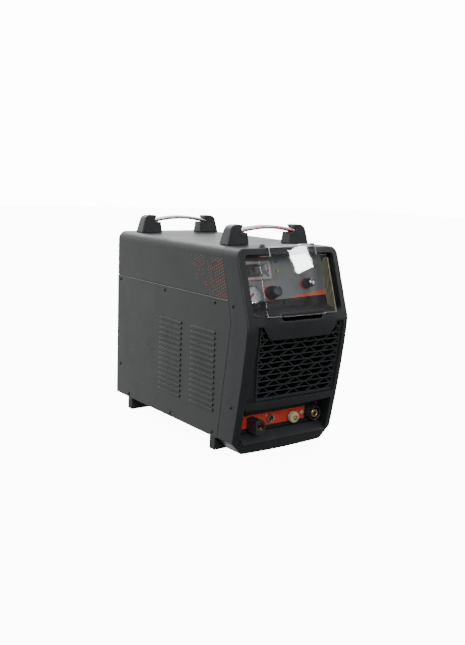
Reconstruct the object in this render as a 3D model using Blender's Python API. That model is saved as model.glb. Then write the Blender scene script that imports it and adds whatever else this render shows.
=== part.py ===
"""Free-standing inverter plasma cutter unit, built as separate pieces.

Sizes are millimetres and become metres when a mesh is made. X runs to the unit's left and right, Z is up from
the floor, and a depth is the distance back from the foremost point of the moulded front bezel.
"""

from math import cos, hypot, pi, radians, sin

import bmesh
import bpy
from mathutils import Matrix, Vector

MM = 0.001
GAP = 0.3
FRONT_Y = -312.3

# Case
HALF_WIDTH = 150.0
CASE_REAR = 590.0
CASE_BOTTOM = 32.0
CASE_TOP = 475.0
SEAM_Z = 358.0
CORNER_RADIUS = 22.0
SHEET = 1.8

# Front bezel: it leans back above the apex and curves back below it
APEX_Z = 312.0
BEZEL_BOTTOM = 4.0
BOW = 10.0
LEAN = 54.0
LOWER_SETBACK = 47.0
LOWER_POWER = 1.35
CHAMFER_WIDTH = 30.0
WALL = 3.5
BEZEL_BACK_TOP = 119.0
BEZEL_BACK_APEX = 72.0
BEZEL_BACK_BOTTOM = 110.0

# Openings of the bezel
WINDOW_HALF = 131.0
WINDOW_LOW = 331.0
WINDOW_HIGH = 461.0
GRILLE_HALF = 106.0
GRILLE_LOW = 131.0
GRILLE_HIGH = 274.0
GRILLE_SETBACK = 20.0
BAY_HALF = 129.0
BAY_LOW = 43.0
BAY_LIP = 27.0
BAY_HIGH = 112.0
BAY_BACK = 74.0

# Control panel
PANEL_RECESS = 52.0
PANEL_HALF = 130.0
PANEL_THICK = 3.0

# Handles
HANDLE_DEPTHS = {"front": 150.0, "rear": 529.0}
BLOCK_INNER = 60.0
BLOCK_OUTER = 122.0
BLOCK_LENGTH = 33.0
BLOCK_HEIGHT = 45.0
SEAT_HEIGHT = 28.0

# Cover hinge
HINGE_DEPTH = 68.0
HINGE_Z = CASE_TOP + 4.2
COVER_HALF = 105.0
TAB_HALF = 69.0
COVER_THICK = 3.0

# Fan
FAN_X = 0.0
FAN_Z = 122.0
FAN_RADIUS = 68.0


def clear_scene():
    for item in list(bpy.data.objects):
        bpy.data.objects.remove(item, do_unlink=True)


def material(name, colour, roughness, metallic=0.0):
    made = bpy.data.materials.new(name)
    made.use_nodes = True
    shader = made.node_tree.nodes["Principled BSDF"]
    shader.inputs["Base Color"].default_value = (*colour, 1.0)
    shader.inputs["Roughness"].default_value = roughness
    shader.inputs["Metallic"].default_value = metallic
    return made


def new_object(name, verts, faces, finish):
    """Make an object from points in millimetres."""
    mesh = bpy.data.meshes.new(name)
    mesh.from_pydata([Vector(point) * MM for point in verts], [], faces)
    shape = bmesh.new()
    shape.from_mesh(mesh)
    bmesh.ops.recalc_face_normals(shape, faces=shape.faces)
    shape.to_mesh(mesh)
    shape.free()
    piece = bpy.data.objects.new(name, mesh)
    bpy.context.collection.objects.link(piece)
    if finish:
        mesh.materials.append(finish)
    return piece


def loft(name, sections, finish):
    """Join closed loops of equal length into one capped body."""
    count = len(sections[0])
    verts = [point for section in sections for point in section]
    faces = [tuple(range(count))]
    for ring in range(len(sections) - 1):
        for step in range(count):
            after = (step + 1) % count
            low = ring * count
            high = low + count
            faces.append((low + step, low + after, high + after, high + step))
    faces.append(tuple(range((len(sections) - 1) * count, len(sections) * count)))
    return new_object(name, verts, faces, finish)


def place_y(depth):
    return FRONT_Y + depth


def prism(name, outline, axis, start, end, finish=None):
    """Extrude an outline along an axis. Outlines are (depth, z), (x, z) or (x, depth)."""
    rings = []
    for along in (start, end):
        if axis == "X":
            rings.append([(along, place_y(a), b) for a, b in outline])
        elif axis == "Y":
            rings.append([(a, place_y(along), b) for a, b in outline])
        else:
            rings.append([(a, place_y(b), along) for a, b in outline])
    return loft(name, rings, finish)


def box(name, x_range, depth_range, z_range, finish=None):
    x0, x1 = x_range
    z0, z1 = z_range
    outline = [(x0, z0), (x1, z0), (x1, z1), (x0, z1)]
    return prism(name, outline, "Y", *depth_range, finish)


def rounded(x_range, z_range, radius, steps=4):
    """A rounded rectangle as a closed outline."""
    x0, x1 = x_range
    z0, z1 = z_range
    corners = [(x1, z0, -pi / 2), (x1, z1, 0.0), (x0, z1, pi / 2), (x0, z0, pi)]
    outline = []
    for x, z, first in corners:
        centre_x = x - radius if x == x1 else x + radius
        centre_z = z - radius if z == z1 else z + radius
        for step in range(steps + 1):
            angle = first + step * pi / 2 / steps
            outline.append((centre_x + radius * cos(angle), centre_z + radius * sin(angle)))
    return outline


def turned(name, profile, finish=None, segments=32, closed=False):
    """Revolve (radius, height) points about local Z. A closed profile makes a ring."""
    verts = []
    rings = []
    for radius, height in profile:
        first = len(verts)
        if radius == 0.0:
            verts.append((0.0, 0.0, height))
            rings.append([first] * segments)
            continue
        for step in range(segments):
            angle = 2 * pi * step / segments
            verts.append((radius * cos(angle), radius * sin(angle), height))
        rings.append(list(range(first, first + segments)))
    pairs = list(zip(rings, rings[1:]))
    if closed:
        pairs.append((rings[-1], rings[0]))
    faces = []
    for low, high in pairs:
        for step in range(segments):
            after = (step + 1) % segments
            corners = [low[step], low[after], high[after], high[step]]
            faces.append(tuple(dict.fromkeys(corners)))
    piece = new_object(name, verts, faces, finish)
    smooth(piece)
    return piece


def smooth(piece, angle=35.0):
    piece.data.shade_smooth()
    piece.data.set_sharp_from_angle(angle=radians(angle))


def stand(piece, x, depth, z, tilt=90.0):
    """Place a turned piece with its local Z pointing forward (tilt 90) or leaning up from there."""
    piece.location = Vector((x, place_y(depth), z)) * MM
    piece.rotation_euler = (radians(tilt), 0.0, 0.0)
    return piece


def lay_across(piece, x, depth, z):
    """Place a turned piece with its local Z along X."""
    piece.location = Vector((x, place_y(depth), z)) * MM
    piece.rotation_euler = (0.0, radians(90.0), 0.0)
    return piece


def combine(target, tool, operation="DIFFERENCE"):
    """Cut or join with another closed shape, which stays hidden as a guide."""
    tool.hide_render = True
    tool.display_type = "WIRE"
    change = target.modifiers.new(tool.name, "BOOLEAN")
    change.operation = operation
    change.solver = "EXACT"
    change.object = tool
    return target


def soften(piece, width, segments=2):
    """Round the sharp edges of a piece."""
    bevel = piece.modifiers.new("rounded edges", "BEVEL")
    bevel.width = width * MM
    bevel.segments = segments
    bevel.limit_method = "ANGLE"
    bevel.angle_limit = radians(40.0)
    return piece


# Front surface of the bezel ---------------------------------------------------------------------------


def front_depth(z, x=0.0):
    """Depth of the bezel's front face at a height and a distance from the middle."""
    if z >= APEX_Z:
        setback = LEAN * (z - APEX_Z) / (CASE_TOP - APEX_Z)
    else:
        fall = (APEX_Z - z) / (APEX_Z - BEZEL_BOTTOM)
        setback = LOWER_SETBACK * fall**LOWER_POWER
    return setback + BOW * (x / HALF_WIDTH) ** 2


def back_depth(z):
    """Depth of the slanted joint between the bezel and the sheet metal."""
    if z >= APEX_Z:
        rise = (z - APEX_Z) / (CASE_TOP - APEX_Z)
        return BEZEL_BACK_APEX + (BEZEL_BACK_TOP - BEZEL_BACK_APEX) * rise
    drop = (APEX_Z - z) / (APEX_Z - CASE_BOTTOM)
    return BEZEL_BACK_APEX + (BEZEL_BACK_BOTTOM - BEZEL_BACK_APEX) * drop


def bezel_section(x, inset, back_shift):
    """Side profile of the bezel at x, drawn inwards by inset."""
    reach = HALF_WIDTH - CORNER_RADIUS
    past = max(0.0, abs(x) * (HALF_WIDTH / (HALF_WIDTH - inset)) - reach)
    top = CASE_TOP - inset - CORNER_RADIUS + (max(CORNER_RADIUS**2 - past**2, 0.0)) ** 0.5
    chamfer = max(0.0, abs(x) - (HALF_WIDTH - CHAMFER_WIDTH) + 0.4 * inset)
    bottom = BEZEL_BOTTOM + inset + chamfer
    levels = [bottom + (APEX_Z - bottom) * step / 6 for step in range(6)]
    levels += [APEX_Z + (top - APEX_Z) * step / 2 for step in range(3)]
    loop = [(x, place_y(front_depth(z, x) + inset), z) for z in levels]
    loop += [(x, place_y(back_depth(z) + back_shift), z) for z in (top, APEX_Z, bottom)]
    return loop


def bezel_solid(name, inset=0.0, back_shift=0.0, finish=None):
    """The bezel's outer volume, or a smaller one inside it."""
    edge = HALF_WIDTH - inset
    places = [edge, edge - 1.5, edge - 6.0, edge - 13.0, edge - CORNER_RADIUS, 120.0, 85.0, 45.0, 0.0]
    places = [-x for x in places[:-1]] + places[::-1]
    return loft(name, [bezel_section(x, inset, back_shift) for x in places], finish)


def panel_depth(z):
    """Depth of the control panel's face, which leans like the bezel above the apex."""
    return PANEL_RECESS + LEAN * (z - APEX_Z) / (CASE_TOP - APEX_Z)


PANEL_COS = (CASE_TOP - APEX_Z) / hypot(LEAN, CASE_TOP - APEX_Z)
PANEL_TILT = 90.0 - 18.33


def panel_frame():
    """Empty at the foot of the control panel: local X across, Y up the panel, Z out of it."""
    frame = bpy.data.objects.new("control panel frame", None)
    bpy.context.collection.objects.link(frame)
    frame.location = Vector((0.0, place_y(PANEL_RECESS), APEX_Z)) * MM
    frame.rotation_euler = (radians(PANEL_TILT), 0.0, 0.0)
    return frame


def up_panel(z):
    """Distance up the control panel at a height."""
    return (z - APEX_Z) / PANEL_COS


def mount(piece, frame, x, z, out=0.0):
    """Fix a piece on the control panel at x and height z, standing off its face."""
    piece.parent = frame
    piece.location = Vector((x, up_panel(z), out)) * MM
    return piece


# Enclosure --------------------------------------------------------------------------------------------


def make_bezel(finish):
    bezel = bezel_solid("front_bezel", finish=finish)
    hollow = bezel_solid("bezel hollow", inset=WALL, back_shift=60.0)
    far = 140.0
    tunnels = [
        box(
            "window tunnel",
            (-WINDOW_HALF - WALL, WINDOW_HALF + WALL),
            (-20.0, BEZEL_BACK_APEX - 4.0),
            (WINDOW_LOW - WALL, WINDOW_HIGH + WALL),
        ),
        box(
            "grille tunnel",
            (-GRILLE_HALF - 34.0, GRILLE_HALF + 34.0),
            (-20.0, 56.0),
            (GRILLE_LOW - WALL, GRILLE_HIGH + WALL),
        ),
        box(
            "bay tunnel",
            (-BAY_HALF - WALL, BAY_HALF + WALL),
            (-20.0, BAY_BACK + 8.0),
            (BEZEL_BOTTOM - 5.0, BAY_HIGH + WALL),
        ),
    ]
    for tunnel in tunnels:
        combine(hollow, tunnel)
    combine(bezel, hollow)
    window = rounded((-WINDOW_HALF, WINDOW_HALF), (WINDOW_LOW, WINDOW_HIGH), 9.0)
    combine(bezel, prism("window opening", window, "Y", -30.0, far))
    grille = [(-GRILLE_HALF, GRILLE_LOW), (GRILLE_HALF, GRILLE_LOW), (GRILLE_HALF, GRILLE_HIGH)]
    grille.append((-GRILLE_HALF, GRILLE_HIGH))
    combine(bezel, prism("grille opening", grille, "Y", -30.0, far))
    flare = []
    for depth, widen in ((-6.0, 34.0), (46.0, -4.0)):
        half = GRILLE_HALF + widen
        flare.append([
            (-half, place_y(depth), GRILLE_LOW),
            (half, place_y(depth), GRILLE_LOW),
            (half, place_y(depth), GRILLE_HIGH),
            (-half, place_y(depth), GRILLE_HIGH),
        ])
    combine(bezel, loft("grille flare", flare, None))
    bay = [(-20.0, BAY_LIP - 12.0), (46.0, BAY_LIP), (68.0, BAY_LOW), (far, BAY_LOW)]
    bay += [(far, BAY_HIGH), (-20.0, BAY_HIGH)]
    combine(bezel, prism("bay opening", bay, "X", -BAY_HALF, BAY_HALF))
    return bezel


def make_grille(finish):
    """Slatted air inlet, tilted to follow the bezel."""
    half = GRILLE_HALF - GAP
    low = GRILLE_LOW + GAP
    high = GRILLE_HIGH - GAP
    front_low = front_depth(low) + GRILLE_SETBACK
    front_high = front_depth(high) + GRILLE_SETBACK
    outline = [(front_low, low), (front_high, high), (front_high + 5.0, high), (front_low + 5.0, low)]
    grille = prism("front_grille", outline, "X", -half, half, finish)
    rows = 10
    pitch = (high - low - 8.0) / rows
    for row in range(rows):
        bottom = low + 6.0 + row * pitch
        slot = box(f"slot {row}", (-half + 6.0, half - 6.0), (0.0, 80.0), (bottom, bottom + 0.62 * pitch))
        combine(grille, slot)
    return grille


def make_control_panel(finish, frame):
    low = up_panel(WINDOW_LOW + 2.0)
    high = up_panel(WINDOW_HIGH - 2.0)
    outline = rounded((-PANEL_HALF, PANEL_HALF), (low, high), 7.0, 3)
    rings = [[(x, y, height) for x, y in outline] for height in (-PANEL_THICK, 0.0)]
    panel = loft("control_panel", rings, finish)
    panel.parent = frame
    return panel


def make_connection_plate(backing, label):
    half = BAY_HALF - GAP
    box("connection_plate", (-half, half), (BAY_BACK, BAY_BACK + 3.0), (BAY_LOW + GAP, BAY_HIGH - GAP), backing)
    box("connection_label", (-half + 1.0, 82.0), (BAY_BACK - 1.3, BAY_BACK - GAP), (57.0, 87.0), label)


def make_top_cover(finish):
    """Inverted U of sheet metal with rolled long edges and a slanted front edge."""

    def path(inset):
        half = HALF_WIDTH - 0.6 - inset
        radius = CORNER_RADIUS - inset
        top = CASE_TOP - inset
        points = [(half, SEAM_Z + 0.5)]
        for step in range(6):
            angle = step * pi / 2 / 5
            points.append((half - radius + radius * cos(angle), top - radius + radius * sin(angle)))
        return points + [(-x, z) for x, z in points[::-1]]

    outline = path(0.0) + path(SHEET)[::-1]
    front = [(x, place_y(back_depth(z) + 0.6), z) for x, z in outline]
    rear = [(x, place_y(CASE_REAR), z) for x, z in outline]
    return loft("top_cover", [front, rear], finish)


def make_side_panels(finish):
    levels = (CASE_BOTTOM, APEX_Z, SEAM_Z)
    outline = [(CASE_REAR, SEAM_Z), (CASE_REAR, CASE_BOTTOM)]
    outline += [(back_depth(z) + 0.6, z) for z in levels]
    for name, side in (("left_side_panel", -1.0), ("right_side_panel", 1.0)):
        prism(name, outline, "X", side * (HALF_WIDTH - SHEET), side * HALF_WIDTH, finish)


def make_base_pan(finish):
    half = HALF_WIDTH - SHEET - GAP
    low = CASE_BOTTOM
    flange = 26.0
    outline = [(-half, low), (half, low), (half, low + flange), (half - 2.0, low + flange)]
    outline += [(half - 2.0, low + 2.0), (-half + 2.0, low + 2.0)]
    outline += [(-half + 2.0, low + flange), (-half, low + flange)]
    return prism("base_pan", outline, "Y", BEZEL_BACK_BOTTOM + 6.0, CASE_REAR - 3.6, finish)


def make_rear_panel(finish):
    half = HALF_WIDTH - SHEET - 0.6 - GAP
    outline = rounded((-half, half), (CASE_BOTTOM + 0.5, CASE_TOP - SHEET - GAP), 20.0)
    panel = prism("rear_panel", outline, "Y", CASE_REAR - 3.0, CASE_REAR - 1.0, finish)
    air = turned("fan opening", disc(FAN_RADIUS, 40.0))
    return combine(panel, stand(air, FAN_X, CASE_REAR + 15.0, FAN_Z))


def disc(radius, height):
    return [(0.0, 0.0), (radius, 0.0), (radius, height), (0.0, height)]


def make_feet(finish):
    """Two cross rails under the base pan."""
    for name, depth in (("front_foot_rail", 120.0), ("rear_foot_rail", 506.0)):
        outline = [(depth, 0.0), (depth + 22.0, 0.0), (depth + 22.0, CASE_BOTTOM - GAP)]
        outline.append((depth, CASE_BOTTOM - GAP))
        soften(prism(name, outline, "X", -HALF_WIDTH + 1.0, HALF_WIDTH - 1.0, finish), 1.5)


# Handles ----------------------------------------------------------------------------------------------


def make_handle_blocks(finish):
    """Tapered blocks with a step that the grip bar's end rests on."""
    profile = [
        (BLOCK_INNER, 0.0),
        (BLOCK_INNER + 4.0, SEAT_HEIGHT),
        (BLOCK_INNER + 21.0, SEAT_HEIGHT - 1.0),
        (BLOCK_INNER + 21.0, SEAT_HEIGHT + 9.0),
        (BLOCK_INNER + 16.0, BLOCK_HEIGHT),
        (BLOCK_INNER + 40.0, BLOCK_HEIGHT),
        (BLOCK_OUTER - 10.0, BLOCK_HEIGHT - 8.0),
        (BLOCK_OUTER, 0.0),
    ]
    base = CASE_TOP + GAP
    for row, centre in HANDLE_DEPTHS.items():
        for side_name, side in (("left", -1.0), ("right", 1.0)):
            rings = []
            for end in (-0.5, 0.5):
                ring = []
                for x, height in profile:
                    taper = 1.0 - 0.22 * height / BLOCK_HEIGHT
                    ring.append((side * x, place_y(centre + end * BLOCK_LENGTH * taper), base + height))
                rings.append(ring)
            soften(loft(f"{row}_handle_block_{side_name}", rings, finish), 1.8)


def make_handle_bars(finish):
    """Arched flat bars, 26 wide and 5 thick, lying in the blocks' steps."""
    half = BLOCK_INNER + 20.0
    rise = 9.0
    low = CASE_TOP + SEAT_HEIGHT + GAP + 0.4
    for row, centre in HANDLE_DEPTHS.items():
        rings = []
        for step in range(17):
            x = -half + 2 * half * step / 16
            z = low + rise * (1.0 - (x / half) ** 2)
            corners = ((-13.0, z), (13.0, z), (13.0, z + 5.0), (-13.0, z + 5.0))
            rings.append([(x, place_y(centre + across), height) for across, height in corners])
        loft(f"{row}_handle_bar", rings, finish)


# Clear cover and its hinge ----------------------------------------------------------------------------


def make_clear_cover(finish):
    """Window plate with a tab wrapped over the bezel's top bar up to the hinge barrel."""
    stand_off = 5.0

    def face(z):
        return front_depth(z) - stand_off

    top = CASE_TOP + 0.8
    lip = WINDOW_LOW - 11.0
    plate = [(face(WINDOW_LOW - 2.0), WINDOW_LOW - 2.0), (face(WINDOW_HIGH - 3.0), WINDOW_HIGH - 3.0)]
    plate += [(d + COVER_THICK, z) for d, z in plate[::-1]]
    cover = prism("clear_cover", plate, "X", -COVER_HALF, COVER_HALF, finish)
    outer = [(face(WINDOW_HIGH - 12.0), WINDOW_HIGH - 12.0), (face(top + 3.0), top + 3.0)]
    outer += [(HINGE_DEPTH, top + 3.0), (HINGE_DEPTH, top), (face(top) + COVER_THICK, top)]
    outer.append((face(WINDOW_HIGH - 12.0) + COVER_THICK - 0.4, WINDOW_HIGH - 12.0))
    combine(cover, prism("cover tab", outer, "X", -TAB_HALF, TAB_HALF), "UNION")
    lower = [(face(lip) - 0.4, lip), (face(WINDOW_LOW + 6.0) - 0.4, WINDOW_LOW + 6.0)]
    lower += [(face(WINDOW_LOW + 6.0) + 2.0, WINDOW_LOW + 6.0), (face(lip) + 2.6, lip)]
    combine(cover, prism("cover lip", lower, "X", -TAB_HALF + 3.0, TAB_HALF - 3.0), "UNION")
    barrel = lay_across(turned("hinge barrel", disc(3.2, 2 * TAB_HALF)), -TAB_HALF, HINGE_DEPTH, HINGE_Z)
    combine(cover, barrel, "UNION")
    bore = lay_across(turned("barrel bore", disc(1.9, 200.0)), -100.0, HINGE_DEPTH, HINGE_Z)
    combine(cover, bore)
    move_origin(cover, Vector((0.0, place_y(HINGE_DEPTH), HINGE_Z)) * MM)
    return cover


def move_origin(piece, point):
    """Shift an object's origin without moving its shape, and keep its guides in step."""
    piece.data.transform(Matrix.Translation(-point))
    piece.location = point


def make_hinge(lug_finish, pin_finish):
    """Two lugs on top of the bezel and the pin that runs through lugs and barrel."""
    pin = turned("cover_hinge_pin", disc(1.5, 2 * TAB_HALF + 22.0), pin_finish, 16)
    lay_across(pin, -TAB_HALF - 11.0, HINGE_DEPTH, HINGE_Z)
    for name, side in (("cover_hinge_lug_left", -1.0), ("cover_hinge_lug_right", 1.0)):
        near = side * (TAB_HALF + 0.5)
        away = side * (TAB_HALF + 9.5)
        low = CASE_TOP + GAP
        outline = [(HINGE_DEPTH - 5.0, low), (HINGE_DEPTH + 5.0, low)]
        for step in range(7):
            angle = step * pi / 6
            outline.append((HINGE_DEPTH + 4.0 * cos(angle), HINGE_Z + 4.0 * sin(angle)))
        lug = prism(name, outline, "X", near, away, lug_finish)
        hole = turned(f"{name} bore", disc(1.9, 30.0), segments=16)
        combine(lug, lay_across(hole, side * (TAB_HALF + 5.0) - 15.0, HINGE_DEPTH, HINGE_Z))


# Controls ---------------------------------------------------------------------------------------------


def make_display(frame, surround, screen):
    """Raised frame with a screen set into it."""
    centre_z = 421.0
    outline = rounded((-42.0, 42.0), (-22.0, 22.0), 3.0, 2)
    rings = [[(x, y, height) for x, y in outline] for height in (GAP, 5.0)]
    module = mount(loft("display_frame", rings, surround), frame, -75.0, centre_z)
    pocket = [[(x, y, height) for x, y in rounded((-36.0, 36.0), (-15.0, 15.0), 1.5, 2)] for height in (2.0, 9.0)]
    combine(module, mount(loft("screen pocket", pocket, None), frame, -75.0, centre_z))
    pane = [[(x, y, height) for x, y in rounded((-35.6, 35.6), (-14.6, 14.6), 1.2, 2)] for height in (2.3, 3.8)]
    mount(loft("display_screen", pane, screen), frame, -75.0, centre_z)


def make_gauge(frame, ring, dial, needle, lens):
    """Pressure gauge: cupped case, dial plate, turning needle and lens."""
    place = {"x": -96.0, "z": 369.0}
    case = [(0.0, GAP), (21.5, GAP), (21.5, 9.0), (20.2, 10.5), (18.6, 10.5), (18.6, 2.0), (0.0, 2.0)]
    mount(turned("gauge_case", case, ring), frame, **place)
    mount(turned("gauge_dial", [(r, h + 2.3) for r, h in disc(18.2, 1.0)], dial), frame, **place)
    mount(turned("gauge_lens", [(r, h + 7.4) for r, h in disc(18.2, 1.4)], lens), frame, **place)
    outline = [(-1.0, -5.0), (1.0, -5.0), (2.4, 0.0), (0.5, 15.0), (-0.5, 15.0), (-2.4, 0.0)]
    rings = [[(x, y, height) for x, y in outline] for height in (4.0, 5.0)]
    hand = mount(loft("gauge_needle", rings, needle), frame, **place)
    hand.rotation_euler = (0.0, 0.0, radians(135.0))


def knob_profile(radius, length):
    """Skirted knob with a waist and a domed end."""
    return [
        (0.0, 0.0),
        (radius, 0.0),
        (radius, 0.22 * length),
        (0.86 * radius, 0.30 * length),
        (0.80 * radius, 0.86 * length),
        (0.62 * radius, length),
        (0.0, length),
    ]


def make_knobs(frame, body, collar):
    for name, collar_name, x, z, radius, length in (
        ("regulator_knob", "regulator_collar", -42.0, 370.0, 16.0, 30.0),
        ("current_knob", "current_collar", 66.0, 386.0, 12.5, 28.0),
    ):
        mount(turned(name, knob_profile(radius, length), body, 24), frame, x, z, 3.1)
        mount(turned(collar_name, [(r, h + GAP) for r, h in disc(radius + 1.6, 2.2)], collar), frame, x, z)


def make_lights(frame, green, yellow):
    profile = [(0.0, GAP), (3.6, GAP), (3.6, 2.0), (2.6, 3.6), (0.0, 4.2)]
    mount(turned("led_green", profile, green, 16), frame, -12.0, 439.0)
    mount(turned("led_yellow", profile, yellow, 16), frame, -12.0, 417.0)


# Connections in the lower bay -------------------------------------------------------------------------


def make_torch_connector(housing, brass):
    """Box-shaped torch connector with one rounded side and a round receptacle."""
    start = BAY_BACK - 1.6
    outline = [(-94.0, 51.0), (-80.0, 51.0)]
    for step in range(9):
        angle = -pi / 2 + step * pi / 8
        outline.append((-78.0 + 12.0 * cos(angle), 67.5 + 16.5 * sin(angle)))
    outline += [(-80.0, 84.0), (-94.0, 84.0)]
    body = prism("torch_connector_housing", outline, "Y", start - 36.0, start, housing)
    hole = turned("receptacle", disc(9.5, 60.0))
    combine(body, stand(hole, -81.0, start - 14.0, 67.5))
    insert = turned("torch_connector_insert", [(5.5, 0.0), (9.0, 0.0), (9.0, 14.0), (5.5, 14.0)], brass, 24, True)
    stand(insert, -81.0, start - 14.3, 67.5)


def make_sockets(ring, cream, black, brass):
    """Control socket, pilot arc terminal and work cable socket, all facing forward."""
    start = BAY_BACK - 1.6
    shell = [(0.0, 0.0), (10.0, 0.0), (10.0, 7.0), (8.0, 7.0), (8.0, 2.0), (0.0, 2.0)]
    socket = stand(turned("control_socket", shell, ring, 24), -26.0, start, 73.0)
    for row in (-5.4, 5.4):
        pin = stand(turned(f"contact {row}", disc(1.2, 5.0), segments=8), -26.0, start - 1.0, 73.0 + row)
        combine(socket, pin, "UNION")
    cap = [(0.0, 0.0), (12.0, 0.0), (14.0, 2.0), (14.0, 11.0), (12.0, 13.0), (5.4, 13.0), (5.4, 8.0), (0.0, 8.0)]
    stand(turned("pilot_arc_terminal", cap, cream), 42.0, start, 67.0)
    tip = [(0.0, 8.3), (5.0, 8.3), (5.0, 18.0), (3.4, 20.0), (0.0, 20.0)]
    stand(turned("pilot_arc_contact", tip, brass, 24), 42.0, start, 67.0)
    start = BAY_BACK - GAP
    collar = [(0.0, 0.0), (19.0, 0.0), (19.0, 18.0), (14.5, 18.0), (14.5, 4.0), (0.0, 4.0)]
    stand(turned("work_socket_collar", collar, black), 104.0, start, 69.0)
    core = [(6.2, 4.3), (10.0, 4.3), (10.0, 16.0), (6.2, 16.0)]
    stand(turned("work_socket_core", core, brass, 24, True), 104.0, start, 69.0)


# Rear fittings ----------------------------------------------------------------------------------------


def make_fan(frame_finish, rotor_finish, guard_finish):
    front = CASE_REAR - 3.6 - 38.0
    outline = rounded((FAN_X - 74.0, FAN_X + 74.0), (FAN_Z - 74.0, FAN_Z + 74.0), 6.0, 2)
    housing = prism("fan_frame", outline, "Y", front, front + 38.0, frame_finish)
    combine(housing, stand(turned("fan duct", disc(FAN_RADIUS + 2.0, 60.0)), FAN_X, front + 50.0, FAN_Z))
    motor = stand(turned("fan motor", disc(20.0, 12.0)), FAN_X, front + 12.0, FAN_Z)
    combine(housing, motor, "UNION")
    for turn in range(3):
        angle = radians(90.0 + 120.0 * turn)
        strut = [(18.0, -3.0), (FAN_RADIUS + 4.0, -3.0), (FAN_RADIUS + 4.0, 3.0), (18.0, 3.0)]
        corners = []
        for along, across in strut:
            x = along * cos(angle) - across * sin(angle)
            corners.append((FAN_X + x, FAN_Z + along * sin(angle) + across * cos(angle)))
        combine(housing, prism(f"strut {turn}", corners, "Y", front + 1.0, front + 7.0), "UNION")
    make_rotor(front + 14.0, rotor_finish)
    make_fan_guard(guard_finish)


def make_rotor(front, finish):
    """Hub with seven twisted blades, turning on the fan's axis."""
    length = 22.0
    rotor = turned("fan_rotor", disc(21.0, length), finish)
    blades = 7
    for blade in range(blades):
        angle = 2 * pi * blade / blades
        rings = []
        for radius, twist in ((18.0, 0.62), (42.0, 0.45), (64.0, 0.32)):
            ring = []
            for along, thick in ((-9.0, -0.9), (9.0, -0.9), (9.0, 0.9), (-9.0, 0.9)):
                across = along * cos(twist) - thick * sin(twist)
                height = along * sin(twist) + thick * cos(twist)
                x = radius * cos(angle) - across * sin(angle)
                y = radius * sin(angle) + across * cos(angle)
                ring.append((x, y, length / 2 + height))
            rings.append(ring)
        wing = loft(f"blade {blade}", rings, None)
        wing.parent = rotor
        combine(rotor, wing, "UNION")
    stand(rotor, FAN_X, front + length, FAN_Z)


def make_fan_guard(finish):
    """Concentric rings joined by a cross, standing off the rear panel."""
    back = CASE_REAR + 6.0
    guard = None
    for step, radius in enumerate((20.0, 36.0, 52.0, 68.0)):
        profile = [(radius - 1.5, 0.0), (radius + 1.5, 0.0), (radius + 1.5, 3.0), (radius - 1.5, 3.0)]
        ring = turned("fan_guard" if guard is None else f"guard ring {step}", profile, finish, 24, True)
        stand(ring, FAN_X, back, FAN_Z)
        if guard is None:
            guard = ring
        else:
            combine(guard, ring, "UNION")
    for step in range(4):
        angle = radians(45.0 + 90.0 * step)
        corners = []
        for along, across in ((14.0, -1.5), (73.0, -1.5), (73.0, 1.5), (14.0, 1.5)):
            x = along * cos(angle) - across * sin(angle)
            corners.append((FAN_X + x, FAN_Z + along * sin(angle) + across * cos(angle)))
        combine(guard, prism(f"guard arm {step}", corners, "Y", back - 2.6, back - 0.4), "UNION")
        middle_x = FAN_X + 71.0 * cos(angle)
        middle_z = FAN_Z + 71.0 * sin(angle)
        spacer = stand(turned(f"guard spacer {step}", disc(4.0, 6.4), segments=12), middle_x, back - 0.2, middle_z)
        combine(guard, spacer, "UNION")
    return guard


def make_breaker(body, lever):
    """Mains circuit breaker with a rocking lever, set low enough to reach over the case."""
    x, z = 78.0, 330.0
    back = CASE_REAR - 0.7
    housing = box("breaker_body", (x - 27.0, x + 27.0), (back, back + 9.0), (z - 40.0, z + 40.0), body)
    slot = box("lever slot", (x - 10.0, x + 10.0), (back + 2.0, back + 20.0), (z - 14.0, z + 14.0))
    combine(housing, slot)
    arm = [(-3.0, -2.0), (3.0, -2.0), (4.5, 15.0), (-4.5, 15.0)]
    rings = [[(across, y, height) for y, height in arm] for across in (-8.5, 8.5)]
    handle = loft("breaker_lever", rings, lever)
    handle.location = Vector((x, place_y(back + 6.2), z)) * MM
    handle.rotation_euler = (radians(-90.0 - 24.0), 0.0, 0.0)
    return handle


def make_rear_fittings(plastic, metal, bowl):
    back = CASE_REAR - 0.7
    gland = [(0.0, 0.0), (17.0, 0.0), (17.0, 7.0), (14.0, 7.0), (14.0, 20.0), (9.5, 26.0), (0.0, 26.0)]
    stand(turned("cable_gland", gland, plastic, 12), -78.0, back, 300.0, -90.0)
    barb = [(0.0, 0.0), (11.0, 0.0), (11.0, 8.0), (6.0, 8.0), (7.0, 12.0), (5.6, 20.0), (7.0, 20.4)]
    barb += [(5.4, 30.0), (2.6, 30.0), (2.6, 18.0), (0.0, 18.0)]
    stand(turned("air_inlet", barb, metal, 16), 96.0, back, 236.0, -90.0)
    filter_body = box("air_filter_head", (-96.0, -56.0), (back, back + 38.0), (392.0, 424.0), metal)
    soften(filter_body, 2.0, 1)
    glass = turned("air_filter_bowl", [(0.0, 0.0), (8.0, 0.0), (15.0, 8.0), (15.0, 44.0), (0.0, 44.0)], bowl, 24)
    glass.location = Vector((-76.0, place_y(back + 19.0), 392.0 - GAP - 44.0)) * MM


# Inside the case --------------------------------------------------------------------------------------


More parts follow.
